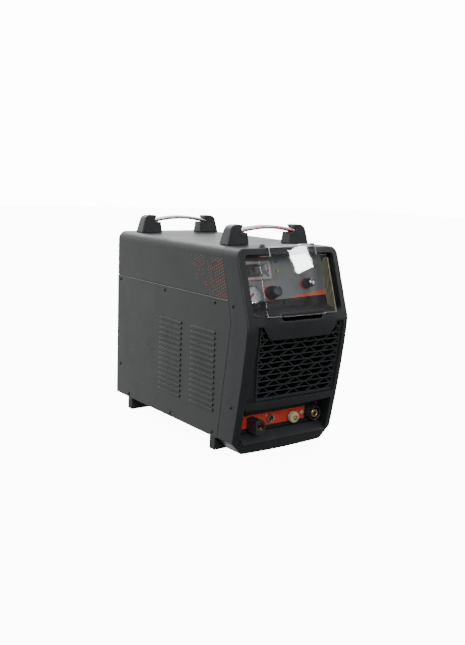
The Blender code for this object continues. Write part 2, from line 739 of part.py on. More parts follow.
def make_internals(sheet, board, aluminium, copper, black, blue, brass):
    shelf = 206.0
    half = HALF_WIDTH - SHEET - 0.6
    box("shelf", (-half, half), (125.0, 540.0), (shelf, shelf + 1.5), sheet)
    box("main_board", (-130.0, 60.0), (180.0, 480.0), (shelf + 12.0, shelf + 14.0), board)
    box("control_board", (-105.0, 105.0), (142.0, 144.0), (330.0, 440.0), board)
    outline = [(-120.0, 60.0), (-40.0, 60.0), (-40.0, 66.0)]
    fins = 9
    for fin in range(fins):
        x = -40.0 - fin * 80.0 / (fins - 1) * 0.975
        outline += [(x, 150.0), (x - 2.0, 150.0), (x - 2.0, 66.0)]
        if fin < fins - 1:
            outline.append((x - 80.0 / (fins - 1) * 0.975, 66.0))
    outline[-1] = (-120.0, 66.0)
    prism("heat_sink", outline, "Y", 220.0, 440.0, aluminium)
    soften(box("transformer", (10.0, 100.0), (360.0, 450.0), (60.0, 140.0), copper), 6.0, 2)
    choke = turned("output_choke", [(18.0, 0.0), (42.0, 0.0), (42.0, 50.0), (18.0, 50.0)], copper, 24, True)
    choke.location = Vector((60.0, place_y(240.0), 60.0)) * MM
    for number, depth in enumerate((230.0, 310.0), 1):
        can = turned(f"capacitor_{number}", disc(26.0, 70.0), blue, 20)
        can.location = Vector((-80.0, place_y(depth), shelf + 14.0 + GAP)) * MM
    box("solenoid_valve", (80.0, 120.0), (430.0, 480.0), (shelf + 10.0, shelf + 60.0), brass)
    box("air_regulator", (-62.0, -22.0), (82.0, 120.0), (340.0, 392.0), black)


def build():
    clear_scene()
    sheet_grey = material("dark grey powder coat", (0.17, 0.18, 0.18), 0.55)
    plastic_grey = material("dark grey moulded plastic", (0.11, 0.12, 0.125), 0.5)
    black = material("black plastic", (0.02, 0.02, 0.021), 0.45)
    rubber = material("black rubber", (0.025, 0.025, 0.025), 0.85)
    silver = material("silver bar", (0.78, 0.79, 0.80), 0.28, 1.0)
    clear = material("clear plastic", (0.85, 0.88, 0.90), 0.05)
    fascia = material("grey fascia", (0.42, 0.42, 0.41), 0.5)
    red = material("red label", (0.75, 0.11, 0.05), 0.5)
    brass = material("brass", (0.72, 0.55, 0.28), 0.3, 1.0)
    chrome = material("chrome", (0.8, 0.8, 0.8), 0.15, 1.0)
    cream = material("cream plastic", (0.72, 0.70, 0.62), 0.5)
    white = material("white dial", (0.85, 0.85, 0.83), 0.4)
    screen = material("dark screen", (0.01, 0.01, 0.012), 0.1)
    galvanised = material("galvanised sheet", (0.55, 0.56, 0.57), 0.4, 1.0)
    green = material("green lamp", (0.05, 0.6, 0.25), 0.2)
    yellow = material("yellow lamp", (0.7, 0.75, 0.15), 0.2)
    board = material("circuit board", (0.03, 0.18, 0.07), 0.5)
    copper = material("copper winding", (0.55, 0.25, 0.12), 0.35, 1.0)
    aluminium = material("aluminium", (0.75, 0.76, 0.77), 0.4, 1.0)
    blue = material("capacitor sleeve", (0.03, 0.06, 0.2), 0.4)

    make_bezel(plastic_grey)
    make_grille(black)
    make_connection_plate(black, red)
    make_top_cover(sheet_grey)
    make_side_panels(sheet_grey)
    make_base_pan(galvanised)
    make_rear_panel(sheet_grey)
    make_feet(rubber)
    make_handle_blocks(black)
    make_handle_bars(silver)
    make_clear_cover(clear)
    make_hinge(black, chrome)

    frame = panel_frame()
    make_control_panel(fascia, frame)
    make_display(frame, black, screen)
    make_gauge(frame, chrome, white, red, clear)
    make_knobs(frame, black, red)
    make_lights(frame, green, yellow)

    make_torch_connector(black, brass)
    make_sockets(chrome, cream, black, brass)
    make_fan(black, black, galvanised)
    make_breaker(black, red)
    make_rear_fittings(black, brass, clear)
    make_internals(galvanised, board, aluminium, copper, black, blue, brass)


build()
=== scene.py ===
"""Looks of the plasma cutter unit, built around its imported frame.

Helper lengths are millimetres. A depth is the distance back from the foremost point of the front bezel.
"""

import random
from math import cos, pi, radians, sin

import bmesh
import bpy
from mathutils import Matrix, Quaternion, Vector


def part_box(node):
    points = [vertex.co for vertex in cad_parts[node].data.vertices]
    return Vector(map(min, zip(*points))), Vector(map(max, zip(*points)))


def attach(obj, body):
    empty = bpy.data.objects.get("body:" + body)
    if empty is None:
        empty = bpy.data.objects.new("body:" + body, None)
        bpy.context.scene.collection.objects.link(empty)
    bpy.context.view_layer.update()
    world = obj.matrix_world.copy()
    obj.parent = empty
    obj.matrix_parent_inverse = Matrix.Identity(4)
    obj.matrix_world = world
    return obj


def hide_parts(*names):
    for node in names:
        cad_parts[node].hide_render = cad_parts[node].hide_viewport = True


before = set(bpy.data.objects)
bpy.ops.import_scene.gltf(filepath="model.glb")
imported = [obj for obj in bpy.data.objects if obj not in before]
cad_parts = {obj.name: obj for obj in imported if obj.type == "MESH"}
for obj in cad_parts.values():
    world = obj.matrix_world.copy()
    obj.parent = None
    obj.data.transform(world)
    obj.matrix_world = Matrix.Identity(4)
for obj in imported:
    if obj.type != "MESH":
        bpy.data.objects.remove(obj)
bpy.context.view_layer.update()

MM = 0.001


def low(node, axis):
    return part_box(node)[0][axis] / MM


def high(node, axis):
    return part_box(node)[1][axis] / MM


def centre(node):
    corner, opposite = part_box(node)
    return (corner + opposite) / 2 / MM


# Sizes that the frame gives
FRONT_Y = low("front_bezel", 1)
HALF_WIDTH = high("front_bezel", 0)
BEZEL_BOTTOM = low("front_bezel", 2)
CASE_TOP = high("top_cover", 2)
CASE_BOTTOM = low("left_side_panel", 2)
CASE_REAR = high("top_cover", 1) - FRONT_Y
SEAM_Z = high("left_side_panel", 2)
GRILLE_LOW = low("front_grille", 2)
BAY_HALF = high("connection_plate", 0) + 3.0
BAY_LOW = low("connection_plate", 2)
BAY_HIGH = high("connection_plate", 2)
BAY_BACK = low("connection_plate", 1) - FRONT_Y
HINGE = centre("cover_hinge_pin")
TAB_HALF = low("cover_hinge_lug_right", 0) - 0.5
COVER_HALF = high("clear_cover", 0)

# Driving dimensions of the bezel
APEX_Z = 312.0
BOW = 10.0
LEAN = 54.0
LOWER_SETBACK = 47.0
LOWER_POWER = 1.35
CORNER_RADIUS = 22.0
CHAMFER_WIDTH = 30.0
EDGE_ROUND = 3.0
BEZEL_BACK_TOP = 119.0
BEZEL_BACK_APEX = 72.0
BEZEL_BACK_BOTTOM = 110.0
WINDOW_HALF = 131.0
WINDOW_LOW = 331.0
WINDOW_HIGH = 461.0
GRILLE_SETBACK = 12.0
LATTICE_LEFT = -112.0
LATTICE_RIGHT = 131.0
LATTICE_BEND_Z = 225.0
CHIN_SIDE_Z = 306.0
CHIN_LOW_Z = 275.0
BEZEL_WALL = 3.5
SHEET = 1.8

# Control panel: its lean from upright in radians, and the height that prints are measured from
PANEL_LEAN = 0.32
PANEL_TILT = pi / 2 - PANEL_LEAN
PANEL_NORMAL = Vector((0.0, -cos(PANEL_LEAN), sin(PANEL_LEAN)))
PANEL_UP = Vector((0.0, sin(PANEL_LEAN), cos(PANEL_LEAN)))
PANEL_MIDDLE = 396.0
PRINT_HALF = 128.0

# Case sides: louvre columns as (rear, front) depths, and screws as (depth, z)
LOUVRE_COLUMNS = ((373.0, 272.0), (232.0, 131.0))
LOUVRE_ROWS = 15
LOUVRE_TOP = 276.0
LOUVRE_PITCH = 13.0
SIDE_SCREWS = (
    (574, 348), (351, 347), (137, 346), (572, 115), (523, 41), (315, 41), (134, 42), (68, 347), (62, 118)
)

# Brightness of the backdrop that the camera sees
BACKDROP = 14.0


# Camera, light and floor


def linked(name, data):
    made = bpy.data.objects.new(name, data)
    bpy.context.collection.objects.link(made)
    return made


def make_camera():
    data = bpy.data.cameras.new("camera")
    data.lens = 45.33
    data.sensor_width = 36.0
    camera = linked("camera", data)
    camera.location = (-1.20986, -1.65781, 0.62682)
    camera.rotation_mode = "QUATERNION"
    aim = Vector((0.59094, 0.78733, -0.17578)).to_track_quat("-Z", "Y")
    camera.rotation_quaternion = aim @ Quaternion((0.0, 0.0, 1.0), 0.0372)
    bpy.context.scene.camera = camera


def area_light(name, place, target, size, power):
    data = bpy.data.lights.new(name, "AREA")
    data.shape = "RECTANGLE"
    data.size, data.size_y = size
    data.energy = power
    lamp = linked(name, data)
    lamp.location = place
    lamp.rotation_mode = "QUATERNION"
    lamp.rotation_quaternion = (Vector(target) - Vector(place)).to_track_quat("-Z", "Y")


def make_lights():
    middle = (0.0, 0.0, 0.25)
    area_light("key", (-2.6, -1.4, 2.2), middle, (1.6, 1.6), 20.0)
    area_light("front", (-0.9, -3.0, 1.7), middle, (1.2, 1.2), 46.0)
    area_light("back", (0.6, 2.6, 2.4), middle, (2.0, 1.2), 30.0)
    pane = Vector((0.019, -0.271, 0.450))
    area_light("window", pane + 2.0 * Vector((0.660, -0.654, 0.369)), pane, (0.082, 0.115), 3.0)


def make_world():
    """A studio that is bright above and behind the object and dim in front of it."""
    world = bpy.data.worlds.new("studio")
    world.use_nodes = True
    nodes = world.node_tree.nodes
    links = world.node_tree.links
    seen = nodes["Background"]
    seen.inputs["Color"].default_value = (1.0, 1.0, 1.0, 1.0)
    seen.inputs["Strength"].default_value = BACKDROP
    where = nodes.new("ShaderNodeTexCoord")
    lean = nodes.new("ShaderNodeVectorMath")
    lean.operation = "DOT_PRODUCT"
    lean.inputs[1].default_value = (0.3, 0.76, 0.58)
    links.new(where.outputs["Generated"], lean.inputs[0])
    soft = add(nodes, "Background", Color=(0.97, 0.99, 1.0, 1.0))
    links.new(ranged(nodes, links, lean.outputs["Value"], 0.16, 2.4, -0.25, 0.95), soft.inputs["Strength"])
    ray = nodes.new("ShaderNodeLightPath").outputs["Is Camera Ray"]
    mix = blended(nodes, links, ray, soft.outputs["Background"], seen.outputs["Background"])
    links.new(mix, nodes["World Output"].inputs["Surface"])
    bpy.context.scene.world = world


# Materials


def shader_of(name):
    made = bpy.data.materials.new(name)
    made.use_nodes = True
    return made, made.node_tree.nodes, made.node_tree.links


def scaled(colour, factor):
    return (*[min(1.0, part * factor) for part in colour], 1.0)


def add(nodes, kind, **values):
    """A shader node with its input values, the spaces in their names written as underscores."""
    made = nodes.new(f"ShaderNode{kind}")
    for socket, value in values.items():
        made.inputs[socket.replace("_", " ")].default_value = value
    return made


def ranged(nodes, links, source, start, end, first=0.3, last=0.7):
    """Map a value to a range."""
    change = add(nodes, "MapRange", From_Min=first, From_Max=last, To_Min=start, To_Max=end)
    links.new(source, change.inputs["Value"])
    return change.outputs["Result"]


def stretched(nodes, links, stretch):
    """Object coordinates with a scale on each axis."""
    mapping = add(nodes, "Mapping", Scale=stretch)
    links.new(nodes.new("ShaderNodeTexCoord").outputs["Object"], mapping.inputs["Vector"])
    return mapping.outputs["Vector"]


def noise(nodes, links, place, size, detail=3.0):
    """Noise with features of a size in millimetres."""
    made = add(nodes, "TexNoise", Scale=1.0 / (size * MM), Detail=detail)
    links.new(place, made.inputs["Vector"])
    return made.outputs["Fac"]


def bumped(nodes, links, height, strength, distance, shader):
    bump = add(nodes, "Bump", Strength=strength, Distance=distance * MM)
    links.new(height, bump.inputs["Height"])
    links.new(bump.outputs["Normal"], shader.inputs["Normal"])


def blended(nodes, links, factor, first, second):
    blend = nodes.new("ShaderNodeMixShader")
    links.new(factor, blend.inputs["Fac"])
    links.new(first, blend.inputs[1])
    links.new(second, blend.inputs[2])
    return blend.outputs["Shader"]


def mixed(nodes, links, factor, first, second):
    blend = nodes.new("ShaderNodeMix")
    blend.data_type = "RGBA"
    links.new(factor, blend.inputs["Factor"])
    for value, socket in ((first, blend.inputs["A"]), (second, blend.inputs["B"])):
        if isinstance(value, tuple):
            socket.default_value = value
        else:
            links.new(value, socket)
    return blend.outputs["Result"]


def finish(name, colour, rough, metal=0.0, mottle=0.1, blot=40.0, grain=0.15, grit=0.8, wear=0.0,
           stretch=(1.0, 1.0, 1.0), **direct):
    """A surface with blotches, fine grain, uneven gloss and pale worn edges."""
    made, nodes, links = shader_of(name)
    shader = nodes["Principled BSDF"]
    place = stretched(nodes, links, stretch)
    blotches = noise(nodes, links, place, blot)
    fine = noise(nodes, links, place, grit, 2.0)
    shade = ranged(nodes, links, blotches, 0.0, 1.0)
    base = mixed(nodes, links, shade, scaled(colour, 1.0 - mottle), scaled(colour, 1.0 + mottle))
    speck = ranged(nodes, links, fine, 0.0, 1.0, 0.35, 0.65)
    base = mixed(nodes, links, ranged(nodes, links, speck, 0.0, 0.35, 0.0, 1.0), base, scaled(colour, 0.86))
    if wear:
        shape = nodes.new("ShaderNodeNewGeometry")
        edge = ranged(nodes, links, shape.outputs["Pointiness"], 0.0, wear, 0.52, 0.6)
        base = mixed(nodes, links, edge, base, scaled(colour, 2.2))
    links.new(base, shader.inputs["Base Color"])
    links.new(ranged(nodes, links, blotches, rough - 0.05, rough + 0.06), shader.inputs["Roughness"])
    bumped(nodes, links, fine, grain, 0.3, shader)
    shader.inputs["Metallic"].default_value = metal
    for socket, value in direct.items():
        shader.inputs[socket.replace("_", " ")].default_value = value
    return made


def clear_finish(name, tint, rough=0.02, refraction_level=0.0):
    """Thin clear plastic with fine scratches and a mirror at grazing angles; a refraction level above zero
    mixes in streaks of a beige diffuse colour, a painted refraction of what is seen through the bend.
    """
    made, nodes, links = shader_of(name)
    nodes.remove(nodes["Principled BSDF"])
    streaks = noise(nodes, links, stretched(nodes, links, (3.0, 3.0, 0.25)), 9.0)
    through = add(nodes, "BsdfTransparent", Color=(*tint, 1.0))
    gloss = add(nodes, "BsdfGlossy", Roughness=rough, Color=(0.6, 0.6, 0.6, 1.0))
    bumped(nodes, links, streaks, 0.012, 0.2, gloss)
    mirror = add(nodes, "LayerWeight", Blend=0.5)
    steep = nodes.new("ShaderNodeMath")
    steep.operation = "POWER"
    steep.inputs[1].default_value = 4.0
    links.new(mirror.outputs["Facing"], steep.inputs[0])
    share = ranged(nodes, links, steep.outputs["Value"], 0.04, 0.9, 0.0, 1.0)
    last = blended(nodes, links, share, through.outputs["BSDF"], gloss.outputs["BSDF"])
    if refraction_level:
        # Painted refraction: streaks of a diffuse beige-olive colour stand for the view bent through the
        # cover's curved side.
        refraction_paint = add(nodes, "BsdfDiffuse", Color=(0.42, 0.40, 0.27, 1.0))
        share = ranged(nodes, links, streaks, refraction_level - 0.3, refraction_level + 0.25)
        last = blended(nodes, links, share, last, refraction_paint.outputs["BSDF"])
    links.new(last, nodes["Material Output"].inputs["Surface"])
    return made


COAT = finish(
    "powder_coat", (0.032, 0.0335, 0.033), 0.4, mottle=0.07, blot=60.0, grain=0.22, wear=0.4,
    Specular_IOR_Level=0.25
)
# Painted highlight: a paler coat colour that stands for the light line along the seam of the case sides.
SEAM_HIGHLIGHT_PAINT = finish("painted_seam_highlight", (0.16, 0.165, 0.165), 0.35, mottle=0.1, blot=20.0, grain=0.1)
MOULDED = finish(
    "moulded_bezel", (0.022, 0.0245, 0.0255), 0.42, mottle=0.06, blot=30.0, grain=0.12, wear=0.35,
    Specular_IOR_Level=0.3
)
BLACK = finish("black_moulding", (0.022, 0.023, 0.025), 0.36, mottle=0.12, blot=12.0, grain=0.12, wear=0.6)
DARK = finish("black_enamel", (0.012, 0.012, 0.013), 0.4, mottle=0.15, blot=8.0, grain=0.1)
RUBBER = finish("foot_rubber", (0.018, 0.018, 0.018), 0.6, mottle=0.2, blot=10.0, grain=0.3, grit=0.6)
SILVER = finish(
    "brushed_bar", (0.60, 0.60, 0.61), 0.36, 1.0, mottle=0.05, blot=4.0, grain=0.12, grit=0.5,
    stretch=(0.08, 1.0, 1.0)
)
CHROME = finish("chrome", (0.86, 0.87, 0.88), 0.2, 1.0, mottle=0.05, blot=6.0, grain=0.03)
BRASS = finish("brass", (0.78, 0.57, 0.24), 0.3, 1.0, mottle=0.12, blot=5.0, grain=0.1)
RED_PRINT = finish("red_print", (0.62, 0.115, 0.070), 0.5, mottle=0.12, blot=20.0, grain=0.1)
FOIL = finish("red_foil", (0.56, 0.052, 0.026), 0.34, mottle=0.08, blot=10.0, grain=0.3, grit=0.7)
ORANGE = finish("orange_print", (0.86, 0.15, 0.055), 0.42, mottle=0.06, blot=15.0, grain=0.08)
RED_RING = finish("red_ring", (0.72, 0.03, 0.05), 0.35, mottle=0.08, blot=5.0, grain=0.08)
FASCIA = finish("grey_fascia", (0.21, 0.21, 0.212), 0.42, mottle=0.07, blot=25.0, grain=0.12)
FASCIA_LOW = finish(
    "brown_black_fascia", (0.016, 0.014, 0.011), 0.3, mottle=0.35, blot=34.0, grain=0.04,
    stretch=(1.6, 1.0, 0.25), Specular_IOR_Level=0.2
)
PALE = finish("pale_surround", (0.42, 0.43, 0.44), 0.33, mottle=0.06, blot=10.0, grain=0.08)
SLATE = finish("slate_cap", (0.055, 0.057, 0.06), 0.35, mottle=0.08, blot=8.0, grain=0.08)
WHITE = finish("white_dial", (0.82, 0.82, 0.80), 0.4, mottle=0.03, blot=10.0, grain=0.05)
CREAM = finish("cream_plastic", (0.58, 0.52, 0.36), 0.36, mottle=0.15, blot=6.0, grain=0.1)
SCREEN = finish("display_glass", (0.032, 0.026, 0.022), 0.1, mottle=0.6, blot=2.2, grain=0.05, grit=1.1)
GREEN = finish("green_lamp", (0.02, 0.27, 0.10), 0.18, mottle=0.15, blot=2.0, grain=0.03, Coat_Weight=0.6)
YELLOW = finish("yellow_lamp", (0.55, 0.62, 0.04), 0.18, mottle=0.15, blot=2.0, grain=0.03, Coat_Weight=0.6)
ZINC = finish("zinc_sheet", (0.50, 0.52, 0.54), 0.36, 1.0, mottle=0.18, blot=14.0, grain=0.08)
BOARD = finish("circuit_board", (0.02, 0.13, 0.05), 0.4, mottle=0.3, blot=5.0, grain=0.2)
WINDING = finish("copper_winding", (0.50, 0.20, 0.09), 0.35, 1.0, mottle=0.25, blot=3.0, grain=0.4, grit=1.4)
ALUMINIUM = finish("aluminium", (0.66, 0.67, 0.69), 0.38, 1.0, mottle=0.1, blot=12.0, grain=0.1)
SLEEVE = finish("capacitor_sleeve", (0.02, 0.045, 0.16), 0.35, mottle=0.12, blot=12.0, grain=0.06)
# Painted highlight: a pale opaque colour on the clear cover's edges that stands for the light they catch.
RIM_HIGHLIGHT_PAINT = finish("painted_rim_highlight", (0.86, 0.88, 0.88), 0.2, mottle=0.05, blot=6.0, grain=0.05)
CLEAR = clear_finish("clear_sheet", (0.93, 0.94, 0.95))
BOWL = clear_finish("clear_bowl", (0.80, 0.86, 0.90), 0.06)
# Painted refraction on the right side's bend, where streaks of beige-olive colour stand for the view through
# it.
PAINTED_REFRACTION = clear_finish("painted_refraction_return", (0.72, 0.70, 0.56), 0.1, refraction_level=0.62)
UNLIT = finish("unlit_segments", (0.11, 0.07, 0.06), 0.3, mottle=0.2, blot=4.0, grain=0.05)
# Painted shade: near-black sheets put where louvre mouths and vent slots show the dark inside of the case.
HOLE_SHADE = finish("deep_shadow", (0.004, 0.004, 0.004), 0.8, mottle=0.2, blot=3.0, grain=0.1)


def paint(material, *nodes):
    for node in nodes:
        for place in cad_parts[node].material_slots:
            place.material = material


# Shapes


def new_object(name, verts, faces, material):
    mesh = bpy.data.meshes.new(name)
    mesh.from_pydata([Vector(point) * MM for point in verts], [], faces)
    shape = bmesh.new()
    shape.from_mesh(mesh)
    bmesh.ops.recalc_face_normals(shape, faces=shape.faces)
    shape.to_mesh(mesh)
    shape.free()
    mesh.materials.append(material)
    return linked(name, mesh)


def loft(name, sections, material, closed=False):
    """A skin over rings of points, capped at both ends or closed into a loop."""
    count = len(sections[0])
    total = len(sections)
    verts = [point for section in sections for point in section]
    faces = [] if closed else [tuple(range(count))]
    for ring in range(total if closed else total - 1):
        near = ring * count
        far = (ring + 1) % total * count
        for step in range(count):
            after = (step + 1) % count
            faces.append((near + step, near + after, far + after, far + step))
    if not closed:
        faces.append(tuple(range((total - 1) * count, total * count)))
    return new_object(name, verts, faces, material)


def slab(name, outline, start, end, material):
    """An (x, y) outline given thickness along local Z."""
    return loft(name, [[(x, y, deep) for x, y in outline] for deep in (start, end)], material)


def place_y(depth):
    return FRONT_Y + depth


def prism(name, outline, axis, start, end, material):
    """Extrude an outline. Outlines are (depth, z) along X, (x, z) along Y, (x, depth) along Z."""
    rings = []
    for along in (start, end):
        if axis == "X":
            rings.append([(along, place_y(a), b) for a, b in outline])
        elif axis == "Y":
            rings.append([(a, place_y(along), b) for a, b in outline])
        else:
            rings.append([(a, place_y(b), along) for a, b in outline])
    return loft(name, rings, material)


def rounded(x_range, z_range, radius, steps=6):
    x0, x1 = x_range
    z0, z1 = z_range
    outline = []
    for x, z, first in ((x1, z0, -pi / 2), (x1, z1, 0.0), (x0, z1, pi / 2), (x0, z0, pi)):
        middle_x = x - radius if x == x1 else x + radius
        middle_z = z - radius if z == z1 else z + radius
        for step in range(steps + 1):
            angle = first + step * pi / 2 / steps
            outline.append((middle_x + radius * cos(angle), middle_z + radius * sin(angle)))
    return outline


def turned(name, profile, material, segments=48, closed=False):
    """Revolve (radius, height) points about local Z."""
    verts = []
    rings = []
    for radius, height in profile:
        first = len(verts)
        if radius == 0.0:
            verts.append((0.0, 0.0, height))
            rings.append([first] * segments)
            continue
        for step in range(segments):
            angle = 2 * pi * step / segments
            verts.append((radius * cos(angle), radius * sin(angle), height))
        rings.append(list(range(first, first + segments)))
    pairs = list(zip(rings, rings[1:]))
    if closed:
        pairs.append((rings[-1], rings[0]))
    faces = []
    for near, far in pairs:
        for step in range(segments):
            after = (step + 1) % segments
            corners = dict.fromkeys([near[step], near[after], far[after], far[step]])
            faces.append(tuple(corners))
    return smooth(new_object(name, verts, faces, material))


def rod(name, radius, length, material, segments=32):
    return turned(name, [(0.0, 0.0), (radius, 0.0), (radius, length), (0.0, length)], material, segments)


def smooth(piece, angle=38.0):
    piece.data.shade_smooth()
    piece.data.set_sharp_from_angle(angle=radians(angle))
    return piece


def settle(piece):
    """Make the modifiers part of the mesh."""
    graph = bpy.context.evaluated_depsgraph_get()
    mesh = bpy.data.meshes.new_from_object(piece.evaluated_get(graph))
    piece.modifiers.clear()
    piece.data = mesh
    return piece


def carve(piece, tools, operation="DIFFERENCE"):
    """Cut other closed shapes from a piece, or join them to it, and remove them."""
    for tool in tools:
        change = piece.modifiers.new("carve", "BOOLEAN")
        change.operation = operation
        change.solver = "EXACT"
        change.object = tool
    settle(piece)
    for tool in tools:
        bpy.data.objects.remove(tool, do_unlink=True)
    return piece


def soften(piece, width, segments=3, angle=50.0):
    """Round the sharp edges and shade the piece smoothly."""
    bevel = piece.modifiers.new("rounded edges", "BEVEL")
    bevel.width = width * MM
    bevel.segments = segments
    bevel.limit_method = "ANGLE"
    bevel.angle_limit = radians(angle)
    bevel.use_clamp_overlap = False
    smooth(settle(piece))
    even = piece.modifiers.new("even shading", "WEIGHTED_NORMAL")
    even.keep_sharp = True
    return piece


def joined(name, pieces):
    """One object from several, keeping their materials."""
    shape = bmesh.new()
    materials = []
    for piece in pieces:
        bpy.context.view_layer.update()
        part = settle(piece).data
        part.transform(piece.matrix_world)
        offset = len(materials)
        for made in part.materials:
            materials.append(made)
        for face in part.polygons:
            face.material_index += offset
        shape.from_mesh(part)
    unique = list(dict.fromkeys(materials))
    for face in shape.faces:
        face.material_index = unique.index(materials[face.material_index])
    mesh = bpy.data.meshes.new(name)
    shape.to_mesh(mesh)
    shape.free()
    for made in unique:
        mesh.materials.append(made)
    for piece in pieces:
        bpy.data.objects.remove(piece, do_unlink=True)
    return smooth(linked(name, mesh))


def put(piece, body, slot, *nodes):
    """Attach a finished piece to its body and hide the CAD nodes that it stands for; slot, what it is made
    of, is not used.
    """
    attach(piece, body)
    if nodes:
        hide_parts(*nodes)
    return piece


def fixed(piece, slot, *nodes):
    return put(piece, "chassis", slot, *nodes)


def stand(piece, x, depth, z, tilt=90.0):
    """Place a turned piece with its local Z pointing forward at tilt 90, or to the rear at tilt -90."""
    piece.rotation_euler = (radians(tilt), 0.0, 0.0)
    piece.location = Vector((x, place_y(depth), z)) * MM
    return piece


def stand_at(piece, node, slot):
    """Put a turned piece in the place of a CAD node, its foot on the node's far end."""
    spot = centre(node)
    stand(piece, spot.x, high(node, 1) - FRONT_Y, spot.z)
    return fixed(piece, slot, node)


# Front bezel


def front_depth(z, x=0.0):
    """Depth of the bezel's front face, which leans back above and below its apex."""
    if z >= APEX_Z:
        setback = LEAN * (z - APEX_Z) / (CASE_TOP - APEX_Z)
    else:
        setback = LOWER_SETBACK * ((APEX_Z - z) / (APEX_Z - BEZEL_BOTTOM)) ** LOWER_POWER
    return setback + BOW * (x / HALF_WIDTH) ** 2


def back_depth(z):
    """Depth of the joint between bezel and case."""
    if z >= APEX_Z:
        return BEZEL_BACK_APEX + (BEZEL_BACK_TOP - BEZEL_BACK_APEX) * (z - APEX_Z) / (CASE_TOP - APEX_Z)
    drop = (APEX_Z - z) / (APEX_Z - CASE_BOTTOM)
    return BEZEL_BACK_APEX + (BEZEL_BACK_BOTTOM - BEZEL_BACK_APEX) * drop


def bezel_section(x, inset, back_shift):
    """Outline of the bezel in the plane at x, from the lower rim up the front and back down the joint."""
    reach = HALF_WIDTH - CORNER_RADIUS
    past = max(0.0, abs(x) * HALF_WIDTH / (HALF_WIDTH - inset) - reach)
    top = CASE_TOP - inset - CORNER_RADIUS + max(CORNER_RADIUS**2 - past**2, 0.0) ** 0.5
    bottom = BEZEL_BOTTOM + inset + max(0.0, abs(x) - (HALF_WIDTH - CHAMFER_WIDTH) + 0.4 * inset)
    into = max(0.0, abs(x) - (HALF_WIDTH - inset - EDGE_ROUND))
    shift = inset + EDGE_ROUND - (EDGE_ROUND**2 - min(into, EDGE_ROUND) ** 2) ** 0.5
    levels = [bottom + 3.0 + (APEX_Z - bottom - 3.0) * step / 14 for step in range(15)]
    levels += [APEX_Z + (top - 3.0 - APEX_Z) * step / 4 for step in range(1, 5)]
    foot = front_depth(bottom, x) + shift
    head = front_depth(top, x) + shift
    rim = [(foot + 2.6, bottom), (foot + 0.7, bottom + 0.8)]
    rim += [(front_depth(z, x) + shift, z) for z in levels]
    rim += [(head + 0.5, top - 0.8), (head + 2.4, top)]
    rim += [(back_depth(z) + back_shift, z) for z in (top, APEX_Z, bottom)]
    return [(x, place_y(depth), z) for depth, z in rim]


def bezel_solid(name, inset=0.0, back_shift=0.0):
    edge = HALF_WIDTH - inset
    reach = edge - CORNER_RADIUS
    places = [edge, edge - 0.4, edge - 1.2, edge - EDGE_ROUND]
    places += [reach + CORNER_RADIUS * sin(radians(angle)) for angle in (48, 36, 24, 12, 0)]
    places += [HALF_WIDTH - CHAMFER_WIDTH, 100.0, 75.0, 50.0, 25.0, 0.0]
    places = [-x for x in places[:-1]] + places[::-1]
    return loft(name, [bezel_section(x, inset, back_shift) for x in places], MOULDED)


def recess_cutters():
    """The grille's hollow, wide at the front face and narrow at the grille, with the chin left standing."""

    def block(corners):
        near = [(x, place_y(-12.0), z) for x, _, z in corners]
        far = [(x, place_y(front_depth(z) + GRILLE_SETBACK + 3.0), z) for _, x, z in corners]
        return loft("recess", [near, far], MOULDED)

    cutters = [block([
        (-141.0, -124.0, 130.0),
        (143.0, LATTICE_RIGHT + 2.0, 130.0),
        (146.0, LATTICE_RIGHT + 2.0, CHIN_LOW_Z),
        (-146.5, LATTICE_LEFT - 2.0, CHIN_LOW_Z),
    ])]
    for side, reach in ((-1.0, -LATTICE_LEFT + 2.0), (1.0, LATTICE_RIGHT + 2.0)):
        corners = [(87.0, 87.0, CHIN_LOW_Z - 1.0), (146.5, reach, CHIN_LOW_Z - 1.0)]
        corners += [(147.0, reach, CHIN_SIDE_Z), (112.0, 109.0, CHIN_SIDE_Z)]
        cutters.append(block([(side * x, side * back, z) for x, back, z in corners]))
    return cutters


def bezel_tunnels():
    """Walls left standing in the hollow around the window, the grille and the bay."""
    wall = BEZEL_WALL
    tunnels = []
    for name, half, z_range, radius, end in (
        ("window tunnel", WINDOW_HALF + wall, (WINDOW_LOW - wall, WINDOW_HIGH + wall), 10.0, 68.0),
        ("grille tunnel", 147.0, (GRILLE_LOW - wall, CHIN_SIDE_Z + wall), 2.0, 60.0),
        ("bay tunnel", BAY_HALF + wall, (-1.0, BAY_HIGH + wall), 2.0, BAY_BACK + 8.0),
    ):
        tunnels.append(prism(name, rounded((-half, half), z_range, radius), "Y", -20.0, end, MOULDED))
    return tunnels


